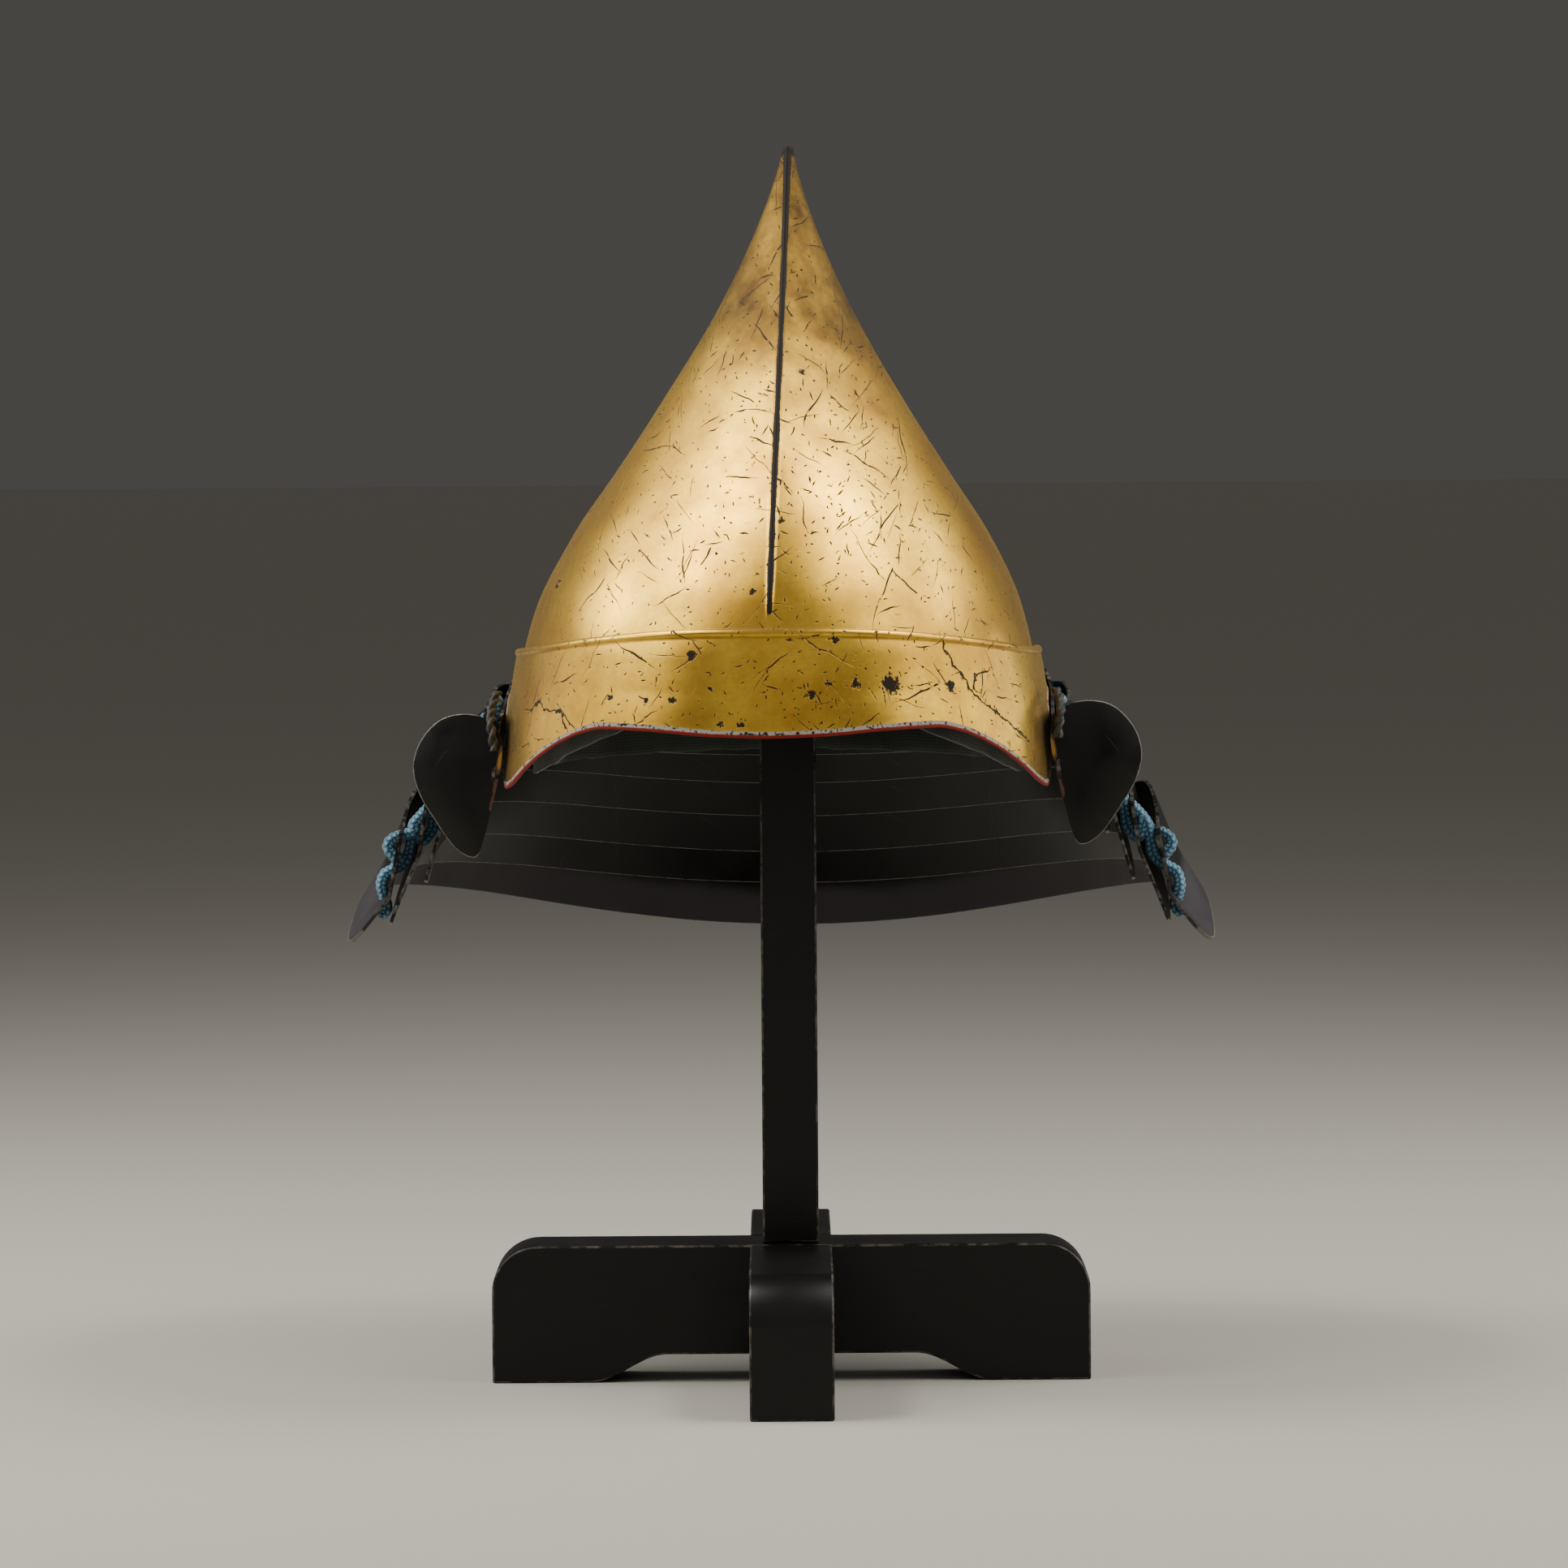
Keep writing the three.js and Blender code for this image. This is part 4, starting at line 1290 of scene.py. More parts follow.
@dataclass
class BrowPlate:
    """The plate across the brow: a rolled bead on top, and the peak below, with a rubbed rim."""

    bowl: Bowl
    edge: Table = field(default_factory=lambda: Table(
        (0, 281), (12, 281.8), (24, 283.6), (36, 284.3), (42, 282.2), (48, 278), (54, 272.8),
        (60, 266.8), (66, 260.6), (69, 258), (72, 256.5), (74.5, 259), (78, 276), (84, 292),
        (96, 297),
    ))
    cracks: tuple[Crack, ...] = (
        Crack(((-61, 291), (-57, 296), (-56, 291.5), (-52.6, 290), (-50.8, 291.8), (-48.6, 290),
               (-47, 284.5))),
        Crack(((40, 318), (42, 310), (45, 303), (46.5, 297), (50.5, 292.5), (57, 285), (64, 276))),
        Crack(((46.5, 297), (48, 305), (52, 307))),
    )
    top_front: float = 326.0
    top_side: float = 315.0
    standoff: float = 1.0
    wall: float = 2.0
    uneven: float = 0.4
    swell: float = 26.0
    lifted: float = 0.4
    bead: float = 3.0
    proud: float = 0.9
    flare_from: float = 300.0
    flare_over: float = 42.0
    flare_side: float = 4.0
    flare_front: float = 3.2
    half_span: float = 96.0
    columns: int = 190
    rows: int = 46
    bead_share: float = 0.26
    lip: float = 3.6
    lip_share: float = 0.8
    half: float = 118.0
    mean_reach: float = 122.0
    slant: float = 1.05
    worn_rim: float = 4.5
    scuffed_at: tuple[float, float] = (10.0, 299.0)
    tucked: float = 1.6

    def heights(self, u: float, v: float) -> tuple[float, float, float]:
        """Return the angle, the height, and the height above the lower edge.

        Args:
            u: Share of the way round.
            v: Share of the way down.

        Returns:
            Those three.
        """
        angle = lerp(-self.half_span, self.half_span, u)
        away = abs(angle)
        top = lerp(self.top_front, self.top_side, smooth(away, 10, 90))
        low = self.edge.one(away)
        if v < self.bead_share:
            z = top - self.bead * v / self.bead_share
        elif v < self.lip_share:
            share = (v - self.bead_share) / (self.lip_share - self.bead_share)
            z = lerp(top - self.bead, low + self.lip, share)
        else:
            z = lerp(low + self.lip, low, (v - self.lip_share) / (1 - self.lip_share))
        return angle, z, z - low

    def place(self, u: float, v: float) -> Vector:
        """Place a point of the plate's outside.

        Args:
            u: Share of the way round.
            v: Share of the way down.

        Returns:
            The point in the part's frame, in metres.
        """
        angle, z, above = self.heights(u, v)
        out = self.standoff + self.wall
        if v < self.bead_share:
            share = v / self.bead_share
            out += self.proud * math.sin(math.pi * share) ** 0.7 - (0 if share else self.tucked)
        out += 0.35 * (1 - smooth(above, 0.6, 3.4)) - 0.5 * (1 - smooth(above, 0.0, 0.9))
        drop = max(0.0, self.flare_from - z) / self.flare_over
        turn = math.radians(angle)
        point = self.bowl.point(angle, z, out)
        point.x += self.flare_side * drop * math.sin(turn)
        point.y -= self.flare_front * drop * math.cos(turn)
        beaten = self.uneven * waver(point.x, point.y, point.z, self.swell)
        raised = max(0.0, waver(point.x, point.y + 60, point.z, 9.0)) * self.near_crack(u, v)
        out = beaten + self.lifted * raised
        point += Vector((point.x, point.y, 0)).normalized() * out
        return SEAT.placed(point)

    def chart(self, u: float, v: float) -> tuple[float, float]:
        """Return a place on the surface's chart, in metres: round it, and up it."""
        angle, z, _ = self.heights(u, v)
        return math.radians(angle) * self.mean_reach * MM, z * self.slant * MM

    def cracked(self, u: float, v: float) -> float:
        """Return how far to one side of the nearest crack a point is."""
        angle, z, _ = self.heights(u, v)
        return min((crack.beside(angle, z) for crack in self.cracks), key=abs)

    def near_crack(self, u: float, v: float) -> float:
        """Return 1 beside a crack, and 0 elsewhere."""
        return 1 - smooth(abs(self.cracked(u, v)), 3, 7)

    def chipped(self, u: float, v: float) -> float:
        """Return how near the nearest chip is."""
        angle, z, _ = self.heights(u, v)
        return marked(BROW_CHIPS, angle, z, self.half)

    def scuffed(self, u: float, v: float) -> float:
        """Return how scuffed the plate is: most a little to the wearer's left of the middle."""
        angle, z, _ = self.heights(u, v)
        return 0.2 + 0.8 * faded((angle - self.scuffed_at[0]) * 2, z - self.scuffed_at[1], 34)

    def rim(self, u: float, v: float) -> float:
        """Return how many millimetres into the worn rim a point is."""
        return max(0.0, self.worn_rim - self.heights(u, v)[2])

    def build(self, finishes: Finishes) -> bpy.types.Object:
        """Make the plate.

        Args:
            finishes: The part's finishes.

        Returns:
            The plate.
        """
        shell = Shell(
            self.columns, self.rows, self.place, self.chart,
            {"chip": self.chipped, "edge": self.rim, "scuff": self.scuffed,
             "crack": self.cracked, "crack_near": self.near_crack},
        )
        plate = make_piece("brow_plate", shell.build(), [finishes.gilt, finishes.red], Slot.GILT,
                           ["brow_peak"])
        thicken(plate, self.wall, -1, lined=True)
        return plate


@dataclass
class Lining:
    """The cloth lining: a dome of hemp hung inside the bowl, whose edge shows below the rim."""

    inside: Table = field(default_factory=lambda: Table(
        (292, 106.6, 119, 122), (312, 102.6, 115.6, 118), (335, 94.6, 107.6, 109.6),
        (358, 79.6, 91.6, 91.6), (377, 61.6, 71.6, 71.6), (391, 43.6, 49.6, 49.6),
        (399.5, 21.6, 24.6, 24.6), (401.5, 0.01, 0.01, 0.01),
    ))
    edge: Table = field(default_factory=lambda: Table(
        (0, 291), (30, 287.5), (38, 282), (53, 273.5), (70, 265), (82, 262), (120, 264),
        (180, 266),
    ))
    crown: float = 401.5
    girth: float = 0.72
    rise: float = 0.2
    wall: float = 1.4
    columns: int = 160
    rows: int = 70

    def place(self, u: float, v: float) -> Vector:
        """Place a point of the cloth.

        Args:
            u: Share of the way round.
            v: Share of the way up.

        Returns:
            The point in the part's frame, in metres.
        """
        angle = 360 * (u - 0.5)
        low = self.edge.one(abs(angle)) + 0.8 * waver(angle, 0, 0, 5.0)
        z = lerp(low, self.crown, math.sin(v * math.pi / 2)) if v < 1 else self.crown
        half, front, back = self.inside.at(z)
        turn = math.radians(angle)
        reach = front if math.cos(turn) > 0 else back
        slack = 0.9 + 1.1 * waver(angle * 0.9, z, 0, 13.0) + 0.8 * waver(angle, z, 9, 5.0)
        slack *= smooth(half, 0, 40)
        point = Vector(((half - slack) * math.sin(turn), -(reach - slack) * math.cos(turn), z))
        return SEAT.placed(point)

    def build(self, finishes: Finishes) -> bpy.types.Object:
        """Make the lining.

        Args:
            finishes: The part's finishes.

        Returns:
            The lining.
        """
        shell = Shell(self.columns, self.rows, self.place,
                      lambda u, v: (u * self.girth, v * self.rise), closed=True, poles=(1.0,))
        lining = make_piece("lining_cloth_dome", shell.build(), [finishes.cloth], Slot.CLOTH,
                            ["lining"])
        area = sum(face.area for face in lining.data.polygons)
        LOG.info("lining: %.4f square metres", area)
        thicken(lining, self.wall, -1)
        return lining


@dataclass
class Lame:
    """One plate of the neck guard.

    Half-widths and reaches back of both edges, the lower edge's heights at the nape, over the
    shoulders and at the front end, and the plate's height, in front of the ears end_height. It
    bends bend_at of the way down, having flared bend_side of the whole by then, or bend_front at
    its front end, which lies forward of the post and whose lower part turns in by turn_in.
    """

    name: str
    top: float
    bottom: float
    top_back: float
    bottom_back: float
    nape: float
    shoulder: float
    end: float
    height: float
    end_height: float
    forward: float
    bend_at: float = 0.4
    bend_side: float = 0.35
    bend_front: float = 0.3
    corner: float = 5.0
    upper_corner: float = 3.0
    turn_in: float = 0.0
    turn_over: float = 6.0
    # Whether the plate's lower part is painted a lighter violet grey, as if lit.
    painted_lit_grey: bool = False
    wall: float = 1.5
    uneven: float = 0.5
    swell: float = 38.0
    columns: int = 168
    end_columns: int = 14
    rows: int = 26
    shoulder_angle: float = 75.0

    def last_angle(self) -> float:
        """Return the front end's angle from the nape."""
        reach = (self.top_back + self.bottom_back) / 2
        return 90 + math.degrees(math.asin(self.forward / reach))

    def lower_edge(self, away: float) -> float:
        """Find the lower edge's height.

        Args:
            away: Degrees from the nape.

        Returns:
            The height.
        """
        turning = self.shoulder_angle
        if away < turning:
            return lerp(self.nape, self.shoulder, math.sin(away / turning * math.pi / 2) ** 2)
        past = min((away - turning) / (self.last_angle() - turning), 1.0)
        return lerp(self.shoulder, self.end, math.sin(past * math.pi / 2) ** 2)

    def height_at(self, away: float) -> float:
        """Return the plate's height at an angle from the nape."""
        return lerp(self.height, self.end_height, smooth(away, 68, 90))

    def point(self, angle: float, share: float) -> Vector:
        """Return a point of the middle of the plate's wall.

        Args:
            angle: Degrees from the nape, and negative on the wearer's right.
            share: Share of the way down.

        Returns:
            The point, in the helmet's own frame.
        """
        away = abs(angle)
        bend = lerp(self.bend_side, self.bend_front, smooth(away, 78, self.last_angle()))
        if share < self.bend_at:
            flare = share / self.bend_at * bend
        else:
            flare = lerp(bend, 1, (share - self.bend_at) / (1 - self.bend_at))
        half = lerp(self.top, self.bottom, flare)
        back = lerp(self.top_back, self.bottom_back, flare)
        z = self.lower_edge(away) + self.height_at(away) * (1 - share)
        across = math.copysign(math.sin(math.radians(min(away, 90))), angle)
        last = self.last_angle()
        near_end = smooth(away, last - self.turn_over, last + self.turn_over / 2)
        half -= self.turn_in * flare * near_end
        return Vector((half * across, back * math.cos(math.radians(angle)), z))

    def normal(self, angle: float, share: float) -> Vector:
        """Find the outward way from the plate.

        Args:
            angle: Degrees from the nape.
            share: Share of the way down.

        Returns:
            The way, one long.
        """
        along = self.point(angle + 0.5, share) - self.point(angle - 0.5, share)
        low = min(share + 0.05, 1.0)
        down = self.point(angle, low) - self.point(angle, low - 0.1)
        return along.cross(down).normalized()

    def off(self, angle: float, down: float, out: float) -> Vector:
        """Return a point beside the plate.

        Args:
            angle: Degrees from the nape.
            down: Millimetres down from the upper edge.
            out: Millimetres outwards from the middle of the wall.

        Returns:
            The point, in the helmet's own frame.
        """
        share = down / self.height_at(abs(angle))
        return self.point(angle, share) + self.normal(angle, share) * out

    def angle(self, u: float) -> float:
        """Find a column's angle, with columns drawn together at the front ends.

        Args:
            u: Share of the way round.

        Returns:
            Degrees from the nape, and negative on the wearer's right.
        """
        last = self.last_angle()
        side = 2 * u - 1
        corner = math.degrees(max(self.corner, 4.0) / self.bottom) * 1.05
        index = (1 - abs(side)) * self.columns / 2
        first = self.end_columns
        if index < first:
            away = last - corner * (index / first) ** 1.6
        else:
            away = lerp(last - corner, 0.0, (index - first) / (self.columns / 2 - first))
        return math.copysign(away, side)

    def share(self, v: float) -> float:
        """Find a row's share of the way down, with rows drawn together at the bend and rims.

        Args:
            v: The row, as a share of the rows.

        Returns:
            The share.
        """
        steps = ((0, 0), (0.08, 0.012), (0.16, 0.03), (0.4, self.bend_at - 0.02),
                 (0.52, self.bend_at + 0.02), (0.8, 0.93), (0.9, 0.985), (1, 1))
        for (low, first), (high, then) in zip(steps, steps[1:]):
            if v <= high:
                return lerp(first, then, (v - low) / (high - low))
        return 1.0

    def rounded(self, angle: float, share: float) -> float:
        """Move a row where the front corners are rounded.

        Args:
            angle: Degrees from the nape.
            share: Share of the way down an unrounded plate.

        Returns:
            Share of the way down this one.
        """
        arc = math.radians(self.last_angle() - abs(angle)) * self.bottom
        rise, drop = (
            radius - math.sqrt(radius**2 - max(radius - arc, 0.0) ** 2)
            for radius in (self.corner, self.upper_corner)
        )
        return lerp(drop / self.end_height, 1 - rise / self.end_height, share)

    def place(self, u: float, v: float) -> Vector:
        """Place a point of the plate.

        Args:
            u: Share of the way round.
            v: Share of the way down.

        Returns:
            The point in the part's frame, in metres.
        """
        angle = self.angle(u)
        share = self.rounded(angle, self.share(v))
        point = self.point(angle, share)
        beaten = self.uneven * waver(point.x, point.y, point.z, self.swell)
        return SEAT.placed(point + self.normal(angle, share) * beaten)

    def chart(self, u: float, v: float) -> tuple[float, float]:
        """Find a place on the plate's chart.

        Args:
            u: Share of the way round.
            v: Share of the way down.

        Returns:
            How far round it and down it, in metres.
        """
        return (
            math.radians(self.angle(u)) * (self.bottom + self.bottom_back) / 2 * MM,
            self.share(v) * self.height * MM,
        )

    def rubbed(self, u: float, v: float) -> float:
        """Return how far a point is rubbed.

        Args:
            u: Share of the way round.
            v: Share of the way down.

        Returns:
            1 at the rims, and less at the front ends and on the bend. The grey at the front
            ends is partly wear and partly a painted highlight along each end.
        """
        angle = self.angle(u)
        share = self.share(v)
        high = self.height_at(abs(angle))
        to_low = (1 - share) * high
        to_top = share * high
        to_end = math.radians(self.last_angle() - abs(angle)) * self.bottom
        rims = 1 - smooth(min(to_low, to_top + 0.3), 0.15, 0.7)
        # Front ends get a broken grey: partly rubbed edge, partly a painted highlight.
        rims = max(rims * smooth(to_end, 0.0, 2.0), 0.82 * (1 - smooth(to_end, 0.15, 0.7)))
        bend = 0.35 * (1 - smooth(abs(share - self.bend_at) * high, 0.2, 1.4))
        return max(rims, bend)

    def painted_light(self, u: float, v: float) -> float:
        """Find how far a point is painted lighter, as if lit: on the last plate, below its bend.

        Args:
            u: Share of the way round.
            v: Share of the way down.

        Returns:
            From 0 to 1.
        """
        if not self.painted_lit_grey:
            return 0.0
        angle = self.angle(u)
        return smooth(self.share(v) + 0.05 * waver(angle, 0, 0, 9.0), 0.55, 0.72)

    def build(self, finishes: Finishes) -> bpy.types.Object:
        """Make the plate.

        Args:
            finishes: The part's finishes.

        Returns:
            The plate.
        """
        shell = Shell(self.columns, self.rows, self.place, self.chart,
                      {"edge": self.rubbed, "scuff": lambda u, v: 0.1, "painted_light": self.painted_light})
        plate = make_piece(f"{self.name}_plate", shell.build(), [finishes.black], Slot.BLACK,
                           [self.name])
        thicken(plate, self.wall, 0, round_by=0.5)
        return plate


@dataclass
class TurnBack:
    """A front end of the top lame, folded out into a shallow convex leaf."""

    side: Side
    outline: tuple[tuple[float, float], ...] = (
        (116.2, 272), (117.6, 283), (127, 290), (141, 289), (151, 280), (155, 268), (152.2, 256),
        (145.5, 245), (138, 234.5), (130.5, 229.5), (126, 232.5), (120.5, 252),
    )
    middle: tuple[float, float] = (134, 265)
    y: float = -40.0
    sweep: float = 12.0
    bulge: float = 3.0
    lift: float = LIFT
    gold_at: float = 271.0
    gold_over: float = 6.0
    brown_starts: tuple[float, float] = (246.0, 250.0)
    brown_ends: tuple[float, float] = (262.0, 266.0)
    wall: float = 1.5
    uneven: float = 0.35
    swell: float = 17.0
    columns: int = 96
    rows: int = 26

    def __post_init__(self) -> None:
        """Lay out the outline."""
        self.rim = Route([Vector((x, 0, z)) for x, z in self.outline], closed=True)

    def flat(self, u: float, v: float) -> tuple[Vector, float]:
        """Find a point of the leaf laid flat.

        Args:
            u: Share of the way round.
            v: Share of the way out from the middle.

        Returns:
            The point, and its share of the way to the edge.
        """
        share = 1 - (1 - v) ** 1.35 if v < 1 else 1.0
        middle = Vector((self.middle[0], 0, self.middle[1]))
        return middle.lerp(self.rim.at(u % 1.0), share), share

    def place(self, u: float, v: float) -> Vector:
        """Place a point of the leaf's front.

        Args:
            u: Share of the way round.
            v: Share of the way out from the middle.

        Returns:
            The point in the part's frame, in metres.
        """
        at, share = self.flat(u, v)
        back = (at.x - self.outline[0][0]) * math.tan(math.radians(self.sweep))
        bulge = self.bulge * (1 - share**2)
        beaten = self.uneven * waver(at.x * self.side.value, 0, at.z, self.swell)
        z = at.z + self.side.value * self.lift
        return SEAT.placed(Vector((self.side.value * at.x, self.y + back - bulge + beaten, z)))

    def rubbed(self, u: float, v: float) -> float:
        """Find how far a point is painted grey, most along the outer edge: partly rubbed wear and
        partly a painted highlight of the rim.

        Args:
            u: Share of the way round.
            v: Share of the way out from the middle.

        Returns:
            From 0 to 1.
        """
        at, _ = self.flat(u, v)
        rim = self.rim.at(u % 1.0)
        return (1 - smooth((rim - at).length, 0.2, 1.3)) * smooth(rim.x, 118, 128)

    def bare(self, u: float, v: float) -> float:
        """Find how far the inner edge is flaked.

        Args:
            u: Share of the way round.
            v: Share of the way out from the middle.

        Returns:
            0 where it is whole, 1 where it is flaked, and 2 where gold shows.
        """
        at, _ = self.flat(u, v)
        rim = self.rim.at(u % 1.0)
        beside = 1 - smooth((rim - at).length, 0.8, 3.4)
        if rim.x > 126 or rim.z > 284:
            return 0.0
        gold = math.exp(-(((rim.z - self.gold_at) / self.gold_over) ** 2))
        brown = smooth(rim.z, *self.brown_starts) * (1 - smooth(rim.z, *self.brown_ends))
        return beside * max(1.9 * gold, 0.85 * brown)

    def build(self, finishes: Finishes) -> bpy.types.Object:
        """Make the leaf.

        Args:
            finishes: The part's finishes.

        Returns:
            The leaf.
        """
        shell = Shell(
            self.columns, self.rows, self.place,
            lambda u, v: (self.flat(u, v)[0].x * MM, self.flat(u, v)[0].z * MM),
            {"edge": self.rubbed, "scuff": lambda u, v: 0.6, "bare": self.bare},
            closed=True, poles=(0.0,), inside=Vector((0, 1.0, 0.26)),
        )
        leaf = make_piece(f"turn_back_{self.side.name.lower()}", shell.build(), [finishes.black],
                          Slot.BLACK, ["top_lame"])
        thicken(leaf, self.wall, -1, round_by=0.55)
        return leaf


@dataclass
class BraidedCord:
    """A round braid along a route, with the knit of its plaits in its surface."""

    name: str
    route: Route
    across: Vector
    radius: float
    lumps: float
    plaits: int = 6
    pitch: float = 2.1
    relief: float = 0.42
    rounded_rows: int = 5
    columns: int = 30
    step: float = 0.46

    def rows(self) -> int:
        """Return how many rows its length needs."""
        return max(8, round(self.route.length / self.step))

    def crown(self, u: float, v: float) -> float:
        """Find the knit's relief.

        Args:
            u: Share of the way round the cord.
            v: Share of the way along it.

        Returns:
            From 0 between the plaits to 1 on their crowns.
        """
        along = v * self.route.length / self.pitch
        lane = u * self.plaits
        side = 2 * (lane - math.floor(lane)) - 1
        slant = 0.45 * abs(side)
        ridge = abs(math.sin(math.pi * (along + slant + 0.5 * (math.floor(lane) % 2))))
        return ridge**0.6 * (1 - 0.75 * abs(side) ** 3)

    def place(self, u: float, v: float) -> Vector:
        """Place a point of the cord's surface.

        Args:
            u: Share of the way round the cord.
            v: Share of the way along it.

        Returns:
            The point in the part's frame, in metres.
        """
        at = self.route.at(v)
        through = self.route.heading(v).cross(self.across).normalized()
        turn = 2 * math.pi * u
        way = self.across * math.cos(turn) + through * math.sin(turn)
        girth = self.radius * (1 + self.lumps * waver(at.x, at.y, at.z, 7.0))
        girth -= self.relief * (1 - self.crown(u, v))
        short = 1 - min(min(v, 1 - v) * self.rows() / self.rounded_rows, 1.0)
        return SEAT.placed(at + way * girth * max(math.sqrt(1 - short**2), 0.35))

    def build(self, finishes: Finishes, node: str) -> bpy.types.Object:
        """Make the cord.

        Args:
            finishes: The part's finishes.
            node: The CAD node that it stands for.

        Returns:
            The cord.
        """
        middle = SEAT.placed(self.route.at(0.5))
        shell = Shell(self.columns, self.rows(), self.place,
                      lambda u, v: (u * 0.015, v * self.route.length * MM),
                      {"crown": self.crown}, closed=True, inside=middle)
        bm = shell.build()
        close_ends(bm)
        shell.turn_outwards(bm)
        return make_piece(self.name, bm, [finishes.cord], Slot.CORD, [node])


@dataclass
class Lacing:
    """Columns of paired cords, let through the lames from the top down.

    The ends say how far down the last plate each cord goes, and at the front also how far out.
    """

    lames: Sequence[Lame]
    columns: tuple[tuple[str, float], ...] = (
        ("front_right", -92), ("side_right", -64), ("rear_right", -32), ("nape", 0),
        ("rear_left", 32), ("side_left", 64), ("front_left", 92),
    )
    spacing: float = 4.6
    radius: float = 2.3
    radius_front: float = 2.7
    lumps: float = 0.06
    lumps_front: float = 0.3
    start: float = 3.0
    start_front: float = 11.0
    tuck: float = 2.5
    hole: float = 6.0
    ends: tuple[float, ...] = (12.0, 17.0)
    first_end: tuple[tuple[float, float], ...] = (
        (3.5, 0), (6.5, 1), (10, 1.05), (13, 0), (15.5, -0.8),
    )
    second_end: tuple[tuple[float, float], ...] = (
        (18, 0), (21.5, 1), (27, 1.1), (31, 0), (33.5, -1), (37, -1),
    )

    def plain(self, angle: float, sit: float) -> list[Vector]:
        """Return a column's path: down each outer face, then in and out through the next plate.

        Args:
            angle: The column's angle from the nape.
            sit: How far the cord's middle is from the middle of a plate's wall.

        Returns:
            The points, from the top down, in the helmet's own frame.
        """
        points = [self.lames[0].off(angle, self.start, sit)]
        for upper, lower in zip(self.lames, self.lames[1:]):
            drop = upper.point(angle, 0).z - lower.point(angle, 0).z
            points.append(upper.off(angle, drop - 1, sit))
            points.append(upper.off(angle, drop + self.tuck, sit))
            points.append(lower.off(angle, self.hole, 0))
        return points + [self.lames[-1].off(angle, down, sit) for down in self.ends]

    def knotted(self, angle: float, sit: float) -> tuple[list[Vector], list[Vector]]:
        """Return the paths of the two cords at a front end, which part and wind through the plates.

        The first goes through each plate near its top. The second goes on down between two plates,
        comes out below, and is knotted behind the last one.

        Args:
            angle: The column's angle from the nape.
            sit: How far the cord's middle is from the middle of a plate's wall.

        Returns:
            The points of both.
        """
        last = self.lames[-1]
        first = [self.lames[0].off(angle, self.start_front, sit)]
        second = [point.copy() for point in first]
        for upper, lower in zip(self.lames, self.lames[1:]):
            drop = upper.point(angle, 0).z - lower.point(angle, 0).z
            over = upper.off(angle, drop - 1, sit)
            first += [over, upper.off(angle, drop + self.tuck, sit)]
            second.append(over.copy())
            for down in (4, 9, 14):
                inner, outer = upper.off(angle, drop + down, 0), lower.off(angle, down, 0)
                second.append(inner.lerp(outer, 0.5))
            if lower is not last:
                first.append(lower.off(angle, self.hole, 0))
                second.append(lower.off(angle, 18, 0))
        first += [last.off(angle, down, out * sit) for down, out in self.first_end]
        second += [last.off(angle, down, out * sit) for down, out in self.second_end]
        return first, second

    def build(self, finishes: Finishes) -> None:
        """Make every column's two cords.

        Args:
            finishes: The part's finishes.
        """
        for name, angle in self.columns:
            at_front = "front" in name
            radius = self.radius_front if at_front else self.radius
            sit = self.lames[0].wall / 2 + radius + 0.2
            if at_front:
                paths = self.knotted(angle, sit)
            else:
                paths = (self.plain(angle, sit), self.plain(angle, sit))
            turn = math.radians(angle)
            across = Vector((math.cos(turn), -math.sin(turn), 0))
            for letter, side, path in zip("ab", (-0.5, 0.5), paths):
                points = [
                    point + across * side * (self.spacing + 0.5 * waver(point.z, side, angle, 9.0))
                    for point in path
                ]
                cord = BraidedCord(f"cord_{name}_{letter}", Route(points), across, radius,
                                   lumps=self.lumps_front if at_front else self.lumps)
                cord.build(finishes, f"lacing_{name}")


@dataclass
class Tie:
    """A dark leather tie from the brow plate's end to a turn-back: two strands twisted together."""

    side: Side
    points: tuple[tuple[float, float, float, float], ...] = (
        (118.6, -30, 297, 0), (120.5, -37, 292, 0.6), (120.5, -44.7, 286, 1),
        (119.6, -45.5, 280, 1), (119.2, -45.5, 275, 1),
    )
    lift: float = LIFT
    strand: float = 1.25
    orbit: float = 0.85
    twist: float = 11.0
    columns: int = 14
    step: float = 0.5

    def build(self, finishes: Finishes) -> None:
        """Make the tie's strands.

        Args:
            finishes: The part's finishes.
        """
        sign = self.side.value
        route = Route([
            Vector((sign * x, y, z + sign * share * self.lift)) for x, y, z, share in self.points
        ])
        for letter, phase in (("a", 0.0), ("b", math.pi)):
            self.strand_piece(route, phase, letter, finishes)

    def place(self, route: Route, phase: float, u: float, v: float) -> Vector:
        """Place a point of a strand.

        Args:
            route: The tie's own path.
            phase: Where round the path the strand starts.
            u: Share of the way round the strand.
            v: Share of the way along it.

        Returns:
            The point in the part's frame, in metres.
        """
        across = Vector((1, 0, 0))
        through = route.heading(v).cross(across).normalized()
        wound = phase + 2 * math.pi * v * route.length / self.twist
        turn = 2 * math.pi * u
        at = route.at(v) + (across * math.cos(wound) + through * math.sin(wound)) * self.orbit
        way = across * math.cos(turn) + through * math.sin(turn)
        rough = 1 + 0.18 * waver(at.x + way.x, at.y + way.y, at.z * 2, 1.6)
        return SEAT.placed(at + way * self.strand * rough)

    def strand_piece(self, route: Route, phase: float, letter: str, finishes: Finishes) -> None:
        """Make one strand.

        Args:
            route: The tie's own path.
            phase: Where round the path the strand starts.
            letter: The strand's letter.
            finishes: The part's finishes.
        """
        rows = round(route.length / self.step)
        shell = Shell(self.columns, rows, lambda u, v: self.place(route, phase, u, v),
                      lambda u, v: (u * 2 * math.pi * self.strand * MM, v * route.length * MM),
                      closed=True, inside=SEAT.placed(route.at(0.5)))
        bm = shell.build()
        close_ends(bm)
        name = self.side.name.lower()
        make_piece(f"tie_strand_{name}_{letter}", bm, [finishes.leather], Slot.LEATHER,
                   [f"tie_{name}"])


